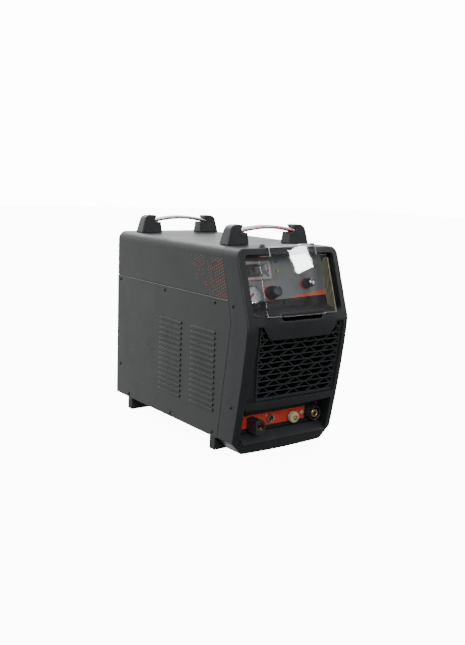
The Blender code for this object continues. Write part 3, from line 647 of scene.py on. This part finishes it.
def make_bezel():
    """Hollow shell with its window, grille recess, bay and finger notch, and the tray in the bay."""
    shell = bezel_solid("front_shell")
    hollow = bezel_solid("hollow", BEZEL_WALL, 60.0)
    carve(hollow, bezel_tunnels())
    window = rounded((-WINDOW_HALF, WINDOW_HALF), (WINDOW_LOW, WINDOW_HIGH), 9.0)
    slot = [(LATTICE_LEFT + 11.0, GRILLE_LOW + 1.0), (LATTICE_RIGHT - 1.0, GRILLE_LOW + 1.0)]
    slot += [(LATTICE_RIGHT - 1.0, CHIN_SIDE_Z - 2.0), (LATTICE_LEFT + 1.0, CHIN_SIDE_Z - 2.0)]
    slot.append((LATTICE_LEFT + 1.0, LATTICE_BEND_Z))
    bay = [(-20.0, 14.0), (46.0, 27.0), (68.0, BAY_LOW), (140.0, BAY_LOW)]
    bay += [(140.0, BAY_HIGH), (-20.0, BAY_HIGH)]
    notch = [(-66.0, WINDOW_LOW + 4.0), (-55.0, 317.0), (59.0, 317.0), (70.0, WINDOW_LOW + 4.0)]
    tools = [
        prism("window opening", window, "Y", -30.0, 140.0, MOULDED),
        prism("grille opening", slot, "Y", 6.0, 140.0, MOULDED),
        prism("bay opening", bay, "X", -BAY_HALF, BAY_HALF, MOULDED),
        prism("finger notch", notch, "Y", -10.0, 14.0, MOULDED),
    ]
    carve(shell, [hollow])
    for cutter in recess_cutters():
        carve(shell, [cutter])
    carve(shell, tools)
    soften(shell, 1.1, 2)
    fixed(shell, "bezel_plastic", "front_bezel")
    tray = prism("bay_tray", [(44.5, 28.0), (69.0, 44.5), (69.0, 46.0), (43.6, 29.6)], "X",
                 -BAY_HALF + 8.0, BAY_HALF - 8.0, MOULDED)
    fixed(soften(tray, 0.6, 2), "bezel_plastic")


def bar_between(name, start, end, width, thick):
    """A bar in the lattice's plane, set on edge, from one (x, z) to another."""
    along = Vector((end[0] - start[0], end[1] - start[1])).normalized()
    across = Vector((-along.y, along.x)) * width / 2
    rings = []
    for x, z in (start, end):
        depth = front_depth(z) + GRILLE_SETBACK
        ring = []
        for side, deep in ((-1, 0.0), (1, 0.0), (1, thick), (-1, thick)):
            drop = -0.25 * deep if abs(along.y) < 0.1 else 0.0
            ring.append((x + side * across.x, place_y(depth + deep), z + side * across.y + drop))
        rings.append(ring)
    return loft(name, rings, MOULDED)


def make_lattice():
    """Slats crossed by zigzag ribs that form rows of triangles."""
    bottom = GRILLE_LOW + 0.6
    top = CHIN_SIDE_Z - 1.0
    rows = 12
    pitch = (top - bottom - 5.0) / rows
    spacing = 63.0
    right = LATTICE_RIGHT - 0.5

    def left(z):
        return LATTICE_LEFT + 0.5 + 10.5 * max(0.0, (LATTICE_BEND_Z - z) / 95.0)

    sill = bottom + 3.2
    bars = [bar_between("sill", (left(sill), sill), (right, sill), 6.4, 9.0)]
    for x, turn in ((left(bottom) + 1.5, left(LATTICE_BEND_Z) + 1.5), (right - 1.5, right - 1.5)):
        bend = (turn, LATTICE_BEND_Z)
        bars.append(bar_between("post", (x, bottom), bend, 3.0, 9.0))
        bars.append(bar_between("post", bend, (turn, top), 3.0, 9.0))
    for row in range(rows + 1):
        z = bottom + 5.0 + row * pitch
        bars.append(bar_between("slat", (left(z), z), (right, z), 2.9, 12.0))
    for row in range(rows):
        z = bottom + 5.0 + row * pitch
        first = -3 * spacing + (spacing / 2 if row % 2 else 0.0) + 8.0
        for step in range(7):
            peak = first + step * spacing
            for side in (-1.0, 1.0):
                ends = [(peak, z + pitch), (peak + side * spacing / 3, z)]
                clipped = [(max(left(height), min(right, x)), height) for x, height in ends]
                if abs(clipped[0][0] - clipped[1][0]) > 6.0:
                    bars.append(bar_between("rib", *clipped, 2.1, 7.0))
    fixed(joined("air_lattice", bars), "bezel_plastic", "front_grille")


# Sheet metal


def make_lid():
    """Top cover: an inverted U of sheet, its edges lightly rounded."""

    def path(inset):
        half = HALF_WIDTH - 0.6 - inset
        radius = CORNER_RADIUS - inset
        top = CASE_TOP - inset
        points = [(half, SEAM_Z + 0.7)]
        for step in range(13):
            angle = step * pi / 2 / 12
            points.append((half - radius + radius * cos(angle), top - radius + radius * sin(angle)))
        return points + [(-x, z) for x, z in points[::-1]]

    outline = path(0.0) + path(SHEET)[::-1]
    front = [(x, place_y(back_depth(z) + 0.8), z) for x, z in outline]
    rear = [(x, place_y(CASE_REAR), z) for x, z in outline]
    lid = loft("case_lid", [front, rear], COAT)
    fixed(soften(lid, 0.5, 2), "cover_sheet", "top_cover")


def arch(side, base, swell, half, depth, z):
    """Half an ellipse that stands off a side of the case."""
    angles = [pi * step / 8 for step in range(9)]
    return [(side * (base + swell * sin(angle)), place_y(depth), z - half * cos(angle)) for angle in angles]


def louvre(side, rear, front, z):
    """A pressed louvre that swells forward and ends in a mouth closed by a near-black sheet of painted
    shade.
    """
    inside = side * (HALF_WIDTH - 1.0)
    swell = [(0.0, 0.25, 0.3), (0.04, 0.75, 0.62), (0.10, 1.0, 0.8)]
    swell += [(0.45, 1.0, 0.88), (0.8, 1.0, 0.96), (1.0, 0.92, 1.0)]
    sections = []
    for share, wide, tall in swell:
        depth = rear + (front - rear) * share
        ring = arch(side, HALF_WIDTH, 2.6 * tall, 4.3 * wide, depth, z)
        ring += [(inside, place_y(depth), z + 4.3 * wide), (inside, place_y(depth), z - 4.3 * wide)]
        sections.append(ring)
    # The mouth is a near-black sheet of painted shade.
    mouth = []
    for share in (1.001, 1.0015):
        depth = rear + (front - rear) * share
        mouth.append(arch(side, HALF_WIDTH + 0.1, 2.1, 3.4, depth - 0.2, z))
    return [loft("louvre", sections, COAT), loft("mouth", mouth, HOLE_SHADE)]


def make_side(name, node, side):
    """Side panel with its joggled top edge, a strip along it in a paler painted highlight, and two columns
    of louvres.
    """
    levels = (CASE_BOTTOM, APEX_Z, SEAM_Z)
    outline = [(CASE_REAR, SEAM_Z), (CASE_REAR, CASE_BOTTOM)]
    outline += [(back_depth(z) + 0.8, z) for z in levels]
    sheet = prism(name, outline, "X", side * (HALF_WIDTH - SHEET), side * HALF_WIDTH, COAT)
    lip = [(CASE_REAR - 1.0, SEAM_Z - 1.6), (back_depth(SEAM_Z) + 1.4, SEAM_Z - 1.6)]
    lip += [(back_depth(SEAM_Z) + 1.4, SEAM_Z), (CASE_REAR - 1.0, SEAM_Z)]
    # The lip strip along the seam is coloured with the painted seam highlight.
    strip = prism("lip", lip, "X", side * (HALF_WIDTH - 0.5), side * (HALF_WIDTH + 0.7), SEAM_HIGHLIGHT_PAINT)
    fixed(joined(name, [soften(sheet, 0.5, 2), soften(strip, 0.4, 2)]), "cover_sheet", node)
    pressed = []
    for rear, front in LOUVRE_COLUMNS:
        for row in range(LOUVRE_ROWS):
            pressed += louvre(side, rear, front, LOUVRE_TOP - LOUVRE_PITCH * row)
    fixed(joined(f"{name}_louvres", pressed), "cover_sheet")


def make_screws():
    """Recessed-drive pan head screws on washers, along the edges of both sides."""
    profile = [(0.0, 0.4), (1.7, 0.4), (1.9, 1.7), (3.2, 1.5), (3.9, 0.9)]
    profile += [(4.1, 0.2), (4.9, 0.15), (4.9, -0.4), (0.0, -0.4)]
    for side, side_name in ((-1.0, "left"), (1.0, "right")):
        for number, (depth, z) in enumerate(SIDE_SCREWS):
            screw = turned(f"screw_{side_name}_{number}", profile, DARK, 24)
            screw.rotation_euler = (0.0, radians(90.0 * side), 0.0)
            screw.location = Vector((side * (HALF_WIDTH + 0.4), place_y(depth), z)) * MM
            fixed(screw, "black_plastic")


def make_fade_print(name, side):
    """A generic printed fade of short slanted dashes, dense by the bezel and sparse to the rear."""
    draw = random.Random(7)
    pitch_x = 8.2
    pitch_z = 6.8
    columns = 21
    low_edge = 352.0
    high_edge = 448.0
    dashes = []
    outer = side * (HALF_WIDTH - 0.6 + 0.14)
    inner = side * (HALF_WIDTH - 0.6 - 0.2)
    for column in range(columns):
        for row in range(15):
            z = low_edge + row * pitch_z + (pitch_z / 2 if column % 2 else 0.0)
            if z > high_edge:
                continue
            depth = back_depth(z) + 5.0 + column * pitch_x
            along = column / columns
            share = along + 0.35 * max(0.0, (400.0 - z) / 48.0) * (along + 0.2)
            if draw.random() < share * 1.25 - 0.12:
                continue
            reach = 1.75 * (1.0 - 0.35 * column / columns)
            corners = [(-reach, -0.5 * reach), (reach * 0.2, -0.5 * reach)]
            corners += [(reach, 0.6 * reach), (-0.2 * reach, 0.6 * reach)]
            rings = [[(x, place_y(depth + a), z + b) for a, b in corners] for x in (inner, outer)]
            dashes.append(loft("dash", rings, RED_PRINT))
    fixed(joined(name, dashes), "red_label")


# Handles


def make_grip_block(row, side_name, side):
    """Moulded block that narrows upward, with a bolt in a well on its top."""
    profile = [(0.0, 0.0), (3.0, 28.0), (21.0, 27.0), (21.0, 36.0), (15.0, 44.0), (20.0, 46.0),
               (40.0, 45.5), (48.0, 42.0), (53.0, 34.0), (62.0, 0.0)]
    node = f"{row}_handle_block_{side_name}"
    inner = low(node, 0) if side > 0 else -high(node, 0)
    middle = centre(node)
    base = low(node, 2)
    length = high(node, 1) - low(node, 1)
    narrowing = 0.0049
    rings = []
    for end in (-0.5 * length, 0.5 * length):
        ring = [(inner + a, end * (1.0 - narrowing * b), b) for a, b in profile]
        rings.append([(side * x, middle.y + y, base + z) for x, y, z in ring])
    block = loft(f"{row}_grip_block_{side_name}", rings, BLACK)
    well_place = Vector((side * (inner + 30.0), middle.y, base + 36.0)) * MM
    well = rod("well", 7.0, 40.0, BLACK)
    well.location = well_place
    carve(block, [well])
    fixed(soften(block, 1.8, 3), "black_plastic", node)
    bolt_profile = [(0.0, 1.0), (2.6, 1.0), (2.6, 4.6), (4.4, 5.0), (5.0, 4.2), (5.0, 0.0), (0.0, 0.0)]
    bolt = turned(f"{node}_bolt", bolt_profile, CHROME, 32)
    bolt.location = well_place
    fixed(bolt, "chrome")


def make_handles():
    for row in ("front", "rear"):
        make_grip_block(row, "left", -1.0)
        make_grip_block(row, "right", 1.0)
        make_grip(row)


def make_grip(row):
    """Arched flat bar with rounded edges; the front one carries a red line."""
    node = f"{row}_handle_bar"
    half = high(node, 0)
    middle = centre(node).y
    base = low(node, 2)
    rise = 9.0
    section = rounded((-13.0, 13.0), (-1.5, 7.0), 4.0, 4)
    stripe = [(-13.2, -0.2), (-11.6, -0.8), (-11.6, 0.9), (-13.2, 1.4)]
    rings = []
    lines = []
    for step in range(33):
        x = -half + 2 * half * step / 32
        z = base + rise * (1.0 - (x / half) ** 2)
        rings.append([(x, middle + a, z + b) for a, b in section])
        lines.append([(x, middle + a, z + b) for a, b in stripe])
    fixed(smooth(loft(f"{row}_grip_bar", rings, SILVER)), "handle_metal", node)
    if row == "front":
        fixed(smooth(loft("front_grip_line", lines[1:-1], RED_RING)), "red_plastic")


# Clear cover


def cover_face(z):
    """Depth of the clear cover's front face, which stands proud of the bezel."""
    return front_depth(z) - 5.0


def hinge_rod(name, radius, length, start, segments):
    """A rod along the cover's hinge line."""
    piece = rod(name, radius, length, CLEAR, segments)
    piece.rotation_euler = (0.0, radians(90.0), 0.0)
    piece.location = Vector((start, HINGE.y, HINGE.z)) * MM
    return piece


def make_cover():
    """Window plate, tab over the top bar, lip and hinge barrel in one sheet, with rims in a pale painted
    highlight.
    """
    thick = 3.0
    top = CASE_TOP + 0.8
    lip = 327.5
    foot = WINDOW_LOW + 6.0
    head = WINDOW_HIGH - 12.0
    hinge = HINGE.y - FRONT_Y
    plate = [(cover_face(z), z) for z in (WINDOW_LOW - 2.0, WINDOW_HIGH - 3.0)]
    plate += [(d + thick, z) for d, z in plate[::-1]]
    cover = prism("window_cover", plate, "X", -COVER_HALF + 5.2, COVER_HALF - 5.2, CLEAR)
    outer = [(cover_face(head), head), (cover_face(top + 3.0), top + 3.0), (hinge, top + 3.0), (hinge, top)]
    outer += [(cover_face(top) + thick, top), (cover_face(head) + thick - 0.4, head)]
    lower = [(cover_face(lip) - 0.4, lip), (cover_face(foot) - 0.4, foot)]
    lower += [(cover_face(foot) + 2.0, foot), (cover_face(lip) + 2.6, lip)]
    barrel = hinge_rod("barrel", 3.2, 2 * TAB_HALF, -TAB_HALF, 32)
    tab = prism("tab", outer, "X", -TAB_HALF, TAB_HALF, CLEAR)
    pull = prism("lip", lower, "X", -TAB_HALF + 3.0, TAB_HALF - 3.0, CLEAR)
    carve(cover, [tab, pull, barrel], "UNION")
    carve(cover, [hinge_rod("bore", 1.9, 200.0, -100.0, 24)])
    cover.data.materials.clear()
    cover.data.materials.append(CLEAR)
    cover.data.materials.append(RIM_HIGHLIGHT_PAINT)
    # Faces that are not frontal, not on the bends and not on the tab top get the painted rim highlight.
    for edge in cover.data.polygons:
        height = edge.center.z / MM
        frontal = abs(edge.normal.dot(PANEL_NORMAL)) > 0.6
        bend = abs(edge.center.x) / MM > COVER_HALF - 6.0
        edge.material_index = 0 if frontal or bend or height > CASE_TOP + 4.0 else 1
    smooth(cover, 30.0)
    put(cover, "clear_cover", "clear_plastic", "clear_cover")


def make_cover_return(name, side, look):
    """Side of the cover, bent back into the window; its reach is kept clear of the bezel and the sill."""
    radius = 5.0
    inside = 2.4
    reach = 26.0
    start = COVER_HALF - radius
    section = [(start, 0.0)]
    turns = (0.4, 0.8, 1.2, pi / 2)
    section += [(start + radius * sin(angle), radius - radius * cos(angle)) for angle in turns]
    section += [(COVER_HALF, reach), (COVER_HALF - inside, reach), (COVER_HALF - inside, radius)]
    section += [(start + inside * sin(angle), radius - inside * cos(angle)) for angle in (1.0, 0.5)]
    section.append((start, 2.6))
    levels = [(WINDOW_LOW - 2.0, 4.5), (WINDOW_LOW + 4.5, 8.0), (WINDOW_LOW + 11.0, reach)]
    levels += [(438.0, reach), (450.0, 15.0)]
    rings = []
    for z, deepest in levels:
        rings.append([(side * x, place_y(cover_face(z) + min(deep, deepest)), z) for x, deep in section])
    put(smooth(loft(name, rings, look), 60.0), "clear_cover", "clear_plastic")


# Control panel


def leaning_at(spot):
    return Matrix.Translation(spot * MM) @ Matrix.Rotation(PANEL_TILT, 4, "X")


def panel_matrix(x, z):
    """Place on the face of the leaning panel, at x and height z."""
    face = centre("control_panel") + PANEL_NORMAL * 1.5
    along = PANEL_UP * (z - face.z) / PANEL_UP.z
    return leaning_at(face + Vector((x, 0.0, 0.0)) + along)


def on_panel(piece, x, z):
    piece.matrix_world = panel_matrix(x, z)
    return piece


def on_node(piece, node, out=0.0):
    """Place a piece on the axis of a CAD node that stands on the panel."""
    piece.matrix_world = leaning_at(centre(node) + PANEL_NORMAL * out)
    return piece


def print_shape(name, outline, material, slot, thick):
    """A flat print on the panel, its outline given as (x, height)."""
    flat = [(x, (z - PANEL_MIDDLE) / cos(PANEL_LEAN)) for x, z in outline]
    fixed(on_panel(slab(name, flat, 0.02, thick, material), 0.0, PANEL_MIDDLE), slot)


def border(x):
    """Height of the line between the grey and the dark part of the panel."""
    return 350.0 + 9.0 * ((x + PRINT_HALF) / (2 * PRINT_HALF)) ** 0.6


def make_prints():
    """Dark band with its sill, and the coloured wedge and sliver along the border."""
    steps = [-PRINT_HALF + 2 * PRINT_HALF * step / 24 for step in range(25)]
    band = [(-PRINT_HALF, 335.0), (PRINT_HALF, 335.0)] + [(x, border(x)) for x in steps[::-1]]
    print_shape("fascia_band", band, FASCIA_LOW, "fascia", 0.3)
    near = front_depth(WINDOW_LOW) + 4.0
    far = panel_matrix(0.0, WINDOW_LOW + 5.0).translation.y / MM - FRONT_Y - 1.0
    sill = [(near, WINDOW_LOW + 0.1), (far, WINDOW_LOW + 6.0)]
    sill += [(far, WINDOW_LOW + 5.0), (near, WINDOW_LOW - 0.6)]
    fixed(prism("window_sill", sill, "X", -WINDOW_HALF + 3.0, WINDOW_HALF - 3.0, BLACK), "fascia")
    sweep = [x for x in steps if x > 6.0]
    wedge = [(x, border(x) + 0.3) for x in sweep]
    wedge += [(x, border(x) + 0.3 + 0.098 * (x - 6.0)) for x in sweep[::-1]]
    print_shape("fascia_wedge", wedge, ORANGE, "red_label", 0.45)
    sweep = [x for x in steps if x < -82.0]
    sliver = [(x, border(x) + 0.3) for x in sweep]
    sliver += [(x, border(x) + 2.9 + 0.05 * (x + PRINT_HALF)) for x in sweep[::-1]]
    print_shape("fascia_sliver", sliver, ORANGE, "red_label", 0.45)


def make_display_outline():
    """Thin printed frame around the display, a ring of square section."""
    outside = rounded((-122.0, -29.0), (399.0, 447.0), 4.0)
    inside = rounded((-121.2, -29.8), (399.8, 446.2), 3.4)
    rings = []
    for loop, deep in ((outside, 0.02), (outside, 0.4), (inside, 0.4), (inside, 0.02)):
        rings.append([(x, (z - PANEL_MIDDLE) / cos(PANEL_LEAN), deep) for x, z in loop])
    ring = loft("display_outline", rings, ORANGE, True)
    fixed(on_panel(ring, 0.0, PANEL_MIDDLE), "red_label")


def make_display():
    outline = rounded((-42.0, 42.0), (-22.0, 22.0), 4.0)
    shoulder = rounded((-40.8, 40.8), (-20.8, 20.8), 3.4)
    inner = rounded((-38.5, 38.5), (-17.5, 17.5), 2.0)
    pocket = rounded((-35.8, 35.8), (-14.8, 14.8), 1.4)
    loops = [(outline, 0.3), (outline, 3.6), (shoulder, 5.0), (inner, 5.0), (pocket, 3.2), (pocket, 1.0)]
    rings = [[(x, y, height) for x, y in loop] for loop, height in loops]
    surround = soften(loft("display_surround", rings, PALE), 0.3, 2, 60.0)
    fixed(on_panel(surround, -75.0, 421.0), "black_plastic", "display_frame")
    digits = []
    strokes = [(-2.6, 0.0, 0.8, 7.0), (2.6, 0.0, 0.8, 7.0), (-2.6, -7.6, 0.8, 7.0), (2.6, -7.6, 0.8, 7.0)]
    strokes += [(0.0, 3.9, 4.2, 0.8), (0.0, -3.8, 4.2, 0.8), (0.0, -11.5, 4.2, 0.8)]
    for column in (-15.0, 0.0, 15.0):
        for x, y, wide, tall in strokes:
            x_range = (column + x - wide / 2, column + x + wide / 2)
            z_range = (3.8 + y - tall / 2, 3.8 + y + tall / 2)
            stroke = rounded(x_range, z_range, 0.35, 2)
            digits.append(slab("stroke", stroke, -0.3, 0.12, UNLIT))
    fixed(on_node(joined("display_segments", digits), "display_screen", 0.75), "dark_screen")


def make_gauge():
    """Bezel ring, scale and numbers of the pressure gauge; its hand is the CAD node."""
    profile = [(18.8, -5.0), (21.5, -5.0), (21.5, 3.4), (21.0, 4.6)]
    profile += [(20.0, 5.3), (19.0, 5.2), (18.5, 4.4), (18.5, -2.8)]
    ring = on_node(turned("gauge_ring", profile, CHROME, 64, True), "gauge_case")
    fixed(ring, "chrome", "gauge_case")
    marks = []
    for step in range(31):
        angle = radians(225.0 - 9.0 * step)
        long = step % 5 == 0
        inner = 12.6 if long else 14.4
        outer = 16.4
        wide = 0.34 if long else 0.16
        ring = []
        for reach, across in ((inner, -wide), (outer, -wide), (outer, wide), (inner, wide)):
            ring.append((reach * cos(angle) - across * sin(angle), reach * sin(angle) + across * cos(angle)))
        marks.append(slab("mark", ring, -0.2, 0.1, DARK))
    scale = fixed(on_node(joined("gauge_scale", marks), "gauge_dial", 0.5), "white_dial")
    for step in range(7):
        angle = radians(225.0 - 45.0 * step)
        text = bpy.data.curves.new(f"gauge_number_{step}", "FONT")
        text.body = str(2 * step)
        text.size = 3.4 * MM
        text.extrude = 0.08 * MM
        text.align_x = "CENTER"
        text.align_y = "CENTER"
        text.materials.append(DARK)
        label = linked(f"gauge_number_{step}", text)
        spot = Vector((10.2 * cos(angle), 10.2 * sin(angle), 0.1)) * MM
        label.matrix_world = scale.matrix_world @ Matrix.Translation(spot)
        fixed(label, "white_dial")


def make_knob(node, collar, cap_material, flutes):
    """Fluted knob with a ringed end cap and a pointer line, turning on its body."""
    radius = (high(node, 0) - low(node, 0)) / 2
    base = centre(collar) + PANEL_NORMAL * 1.7
    length = 2 * (centre(node) - base).length
    profile = [(1.0, 0.0), (1.0, 0.18), (0.95, 0.24), (0.86, 0.28)]
    profile += [(0.84, 0.33), (0.82, 0.86), (0.78, 0.95), (0.68, 1.0)]
    segments = flutes * 6
    rings = []
    for share, height in profile:
        fluted = 0.33 <= height <= 0.9
        ring = []
        for step in range(segments):
            angle = 2 * pi * step / segments
            dip = 0.045 * (0.5 - 0.5 * cos(flutes * angle)) if fluted else 0.0
            reach = radius * (share - dip)
            ring.append((reach * cos(angle), reach * sin(angle), length * height))
        rings.append(ring)
    grip = smooth(loft(f"{node}_grip", rings, BLACK), 50.0)
    cap_profile = [(0.0, -0.6), (0.62, -0.6), (0.62, 0.5), (0.56, 0.9), (0.40, 0.5), (0.36, 0.2), (0.0, 0.3)]
    grip.matrix_world = leaning_at(base)
    cap = turned(f"{node}_cap", [(share * radius, z) for share, z in cap_profile], cap_material, 48)
    cap.matrix_world = leaning_at(base + PANEL_NORMAL * length)
    outline = [(-0.6, 0.40 * radius), (0.6, 0.40 * radius), (0.6, 0.79 * radius), (-0.6, 0.79 * radius)]
    line = slab(f"{node}_line", outline, -0.8, 0.75, WHITE)
    line.matrix_world = leaning_at(base + PANEL_NORMAL * (length - 0.6))
    put(grip, node, "black_plastic", node)
    put(cap, node, "black_plastic")
    put(line, node, "white_dial")


# Connection bay


def make_torch_box():
    """Torch connector: a box with a rounded end, an open receptacle and ribs on its left side."""
    node = "torch_connector_housing"
    x0 = low(node, 0)
    z0 = low(node, 2)
    z1 = high(node, 2)
    middle = (z0 + z1) / 2
    near = low(node, 1) - FRONT_Y
    far = high(node, 1) - FRONT_Y
    outline = [(x0, z0), (x0 + 14.0, z0)]
    for step in range(17):
        angle = -pi / 2 + step * pi / 16
        outline.append((x0 + 16.0 + 12.0 * cos(angle), middle + (z1 - z0) / 2 * sin(angle)))
    outline += [(x0 + 14.0, z1), (x0, z1)]
    torch = prism("torch_box", outline, "Y", near, far, BLACK)
    carve(torch, [stand(rod("receptacle", 9.5, 60.0, BLACK, 48), x0 + 13.0, far - 14.0, middle)])
    fixed(soften(torch, 0.9, 3), "black_plastic", node)
    ribs = []
    for step in range(5):
        z = z0 + 4.5 + step * (z1 - z0 - 9.0) / 4
        outline = rounded((x0 - 0.9, x0 + 0.5), (z - 1.2, z + 1.2), 0.4, 2)
        ribs.append(prism("rib", outline, "Y", near + 3.0, far - 4.0, BLACK))
    fixed(joined("torch_ribs", ribs), "black_plastic")


def make_control_socket():
    """Round chromed socket with an insert that carries five pins."""
    profile = [(7.4, 0.0), (10.0, 0.0), (10.0, 6.0), (9.4, 7.0), (8.2, 7.0), (7.6, 6.2), (7.4, 2.4)]
    stand_at(turned("socket_ring", profile, CHROME, 48, True), "control_socket", "chrome")
    spot = centre("control_socket")
    back = high("control_socket", 1) - FRONT_Y
    parts = [stand(rod("insert", 7.5, 3.4, DARK), spot.x, back, spot.z)]
    for turn in range(5):
        angle = radians(90.0 + 72.0 * turn)
        pin = turned("pin", [(0.0, 2.0), (0.8, 2.0), (0.8, 5.6), (0.4, 6.2), (0.0, 6.2)], BRASS, 12)
        parts.append(stand(pin, spot.x + 4.4 * cos(angle), back, spot.z + 4.4 * sin(angle)))
    fixed(joined("socket_insert", parts), "black_plastic")


def make_terminals():
    """Ridged cap of the pilot arc terminal, and the work socket's collar and core."""
    cap = [(0.0, 0.0), (12.0, 0.0), (13.6, 1.6), (14.0, 3.0), (13.4, 4.4), (14.0, 5.8), (13.4, 7.2)]
    cap += [(14.0, 8.6), (13.4, 10.0), (12.8, 12.2), (11.0, 13.0), (5.4, 13.0), (5.4, 8.0), (0.0, 8.0)]
    stand_at(turned("terminal_cap", cap, CREAM, 48), "pilot_arc_terminal", "cream_plastic")
    collar = [(0.0, 0.0), (19.0, 0.0), (19.0, 8.0), (18.2, 9.0), (18.2, 16.0), (17.4, 17.6), (16.0, 18.0),
              (14.9, 17.2), (14.5, 16.0), (14.5, 4.0), (0.0, 4.0)]
    stand_at(turned("work_collar", collar, BLACK, 64), "work_socket_collar", "black_plastic")
    profile = [(5.8, -11.0), (9.4, -11.0), (10.0, -10.4), (10.0, 0.2), (9.2, 1.0), (6.6, 1.0), (5.8, 0.2)]
    spot = centre("work_socket_core")
    front = low("work_socket_core", 1) - FRONT_Y
    core = stand(turned("work_core", profile, BRASS, 48, True), spot.x, front + 1.0, spot.z)
    fixed(core, "brass", "work_socket_core")


def make_bay_signs():
    """Plus sign on the foil and red dot beside the work socket."""
    front = low("connection_label", 1) - FRONT_Y
    plus = [(-4.6, -1.3), (-1.3, -1.3), (-1.3, -4.6), (1.3, -4.6), (1.3, -1.3), (4.6, -1.3)]
    plus += [(-x, -z) for x, z in plus]
    outline = [(74.5 + 1.3 * x, 72.5 + 1.3 * z) for x, z in plus]
    fixed(prism("plus_sign", outline, "Y", front - 0.3, front + 0.3, PALE), "white_dial")
    dot = turned("red_dot", [(0.0, 0.0), (2.4, 0.0), (2.4, 1.0), (1.6, 1.8), (0.0, 2.0)], RED_RING, 24)
    fixed(stand(dot, 122.0, BAY_BACK, 90.0), "red_plastic")


# Rear


def make_rear():
    """Earth stud, screws, vent slots drawn as thin near-black plates of painted shade, and a blank rating
    plate on the rear panel.
    """
    back = high("rear_panel", 1) - FRONT_Y
    stud = [(0.0, 0.0), (6.5, 0.0), (6.5, 1.4), (5.0, 1.4), (5.0, 5.4), (3.0, 5.8)]
    stud += [(3.0, 15.0), (2.4, 15.8), (0.0, 15.8)]
    fixed(stand(turned("earth_stud", stud, BRASS, 6), 104.0, back, 62.0, -90.0), "brass")
    profile = [(0.0, 0.5), (1.6, 0.5), (1.8, 1.8), (3.2, 1.5), (3.8, 0.8), (3.9, -0.2), (0.0, -0.2)]
    places = [(x, z) for x in (-132.0, 132.0) for z in (48.0, 200.0, 345.0, 452.0)]
    for number, (x, z) in enumerate(places):
        screw = stand(turned(f"rear_screw_{number}", profile, DARK, 20), x * 0.98, back, z, -90.0)
        fixed(screw, "black_plastic")
    slots = []
    for row in range(6):
        z = 226.0 + 9.0 * row
        outline = rounded((-30.0, 48.0), (z, z + 4.4), 2.1, 4)
        slots.append(prism("rear slot", outline, "Y", back - 0.3, back + 0.12, HOLE_SHADE))
    fixed(joined("rear_slots", slots), "cover_sheet")
    outline = rounded((-12.0, 42.0), (392.0, 424.0), 2.5)
    plate = prism("blank_plate", outline, "Y", back - 0.2, back + 0.5, ALUMINIUM)
    fixed(soften(plate, 0.2, 2), "aluminium")


def paint_frame():
    paint(FASCIA, "control_panel")
    paint(SCREEN, "display_screen")
    paint(WHITE, "gauge_dial")
    paint(RED_RING, "gauge_needle", "regulator_collar", "current_collar", "breaker_lever")
    paint(CLEAR, "gauge_lens")
    paint(GREEN, "led_green")
    paint(YELLOW, "led_yellow")
    paint(DARK, "connection_plate", "fan_rotor")
    paint(FOIL, "connection_label")
    paint(BRASS, "torch_connector_insert", "pilot_arc_contact", "air_inlet", "solenoid_valve")
    paint(BLACK, "cable_gland", "breaker_body", "fan_frame", "air_regulator")
    paint(BLACK, "cover_hinge_lug_left", "cover_hinge_lug_right")
    paint(CHROME, "cover_hinge_pin")
    paint(COAT, "rear_panel")
    paint(RUBBER, "front_foot_rail", "rear_foot_rail")
    paint(ZINC, "base_pan", "shelf", "fan_guard", "air_filter_head")
    paint(BOWL, "air_filter_bowl")
    paint(BOARD, "main_board", "control_board")
    paint(WINDING, "transformer", "output_choke")
    paint(ALUMINIUM, "heat_sink")
    paint(SLEEVE, "capacitor_1", "capacitor_2")


def make_floor():
    reach = 12000.0
    corners = [(-reach, -reach, 0.0), (reach, -reach, 0.0), (reach, reach, 0.0), (-reach, reach, 0.0)]
    pale = finish("pale_floor", (0.86, 0.86, 0.86), 0.6, mottle=0.01, blot=300.0, grain=0.02)
    floor = new_object("floor", corners, [(0, 1, 2, 3)], pale)
    shader = floor.data.materials[0].node_tree.nodes["Principled BSDF"]
    shader.inputs["Emission Color"].default_value = (1.0, 1.0, 1.0, 1.0)
    shader.inputs["Emission Strength"].default_value = 0.75 * BACKDROP
    floor.visible_diffuse = False
    floor.visible_glossy = False


def build():
    make_camera()
    make_world()
    make_lights()
    make_floor()
    make_bezel()
    make_lattice()
    make_lid()
    make_side("left_case_side", "left_side_panel", -1.0)
    make_side("right_case_side", "right_side_panel", 1.0)
    make_screws()
    make_fade_print("left_fade_print", -1.0)
    make_fade_print("right_fade_print", 1.0)
    make_handles()
    make_cover()
    make_cover_return("cover_return_left", -1.0, CLEAR)
    make_cover_return("cover_return_right", 1.0, PAINTED_REFRACTION)
    make_prints()
    make_display_outline()
    make_display()
    make_gauge()
    make_knob("regulator_knob", "regulator_collar", SLATE, 22)
    make_knob("current_knob", "current_collar", CHROME, 18)
    make_torch_box()
    make_control_socket()
    make_terminals()
    make_bay_signs()
    make_rear()
    paint_frame()


build()
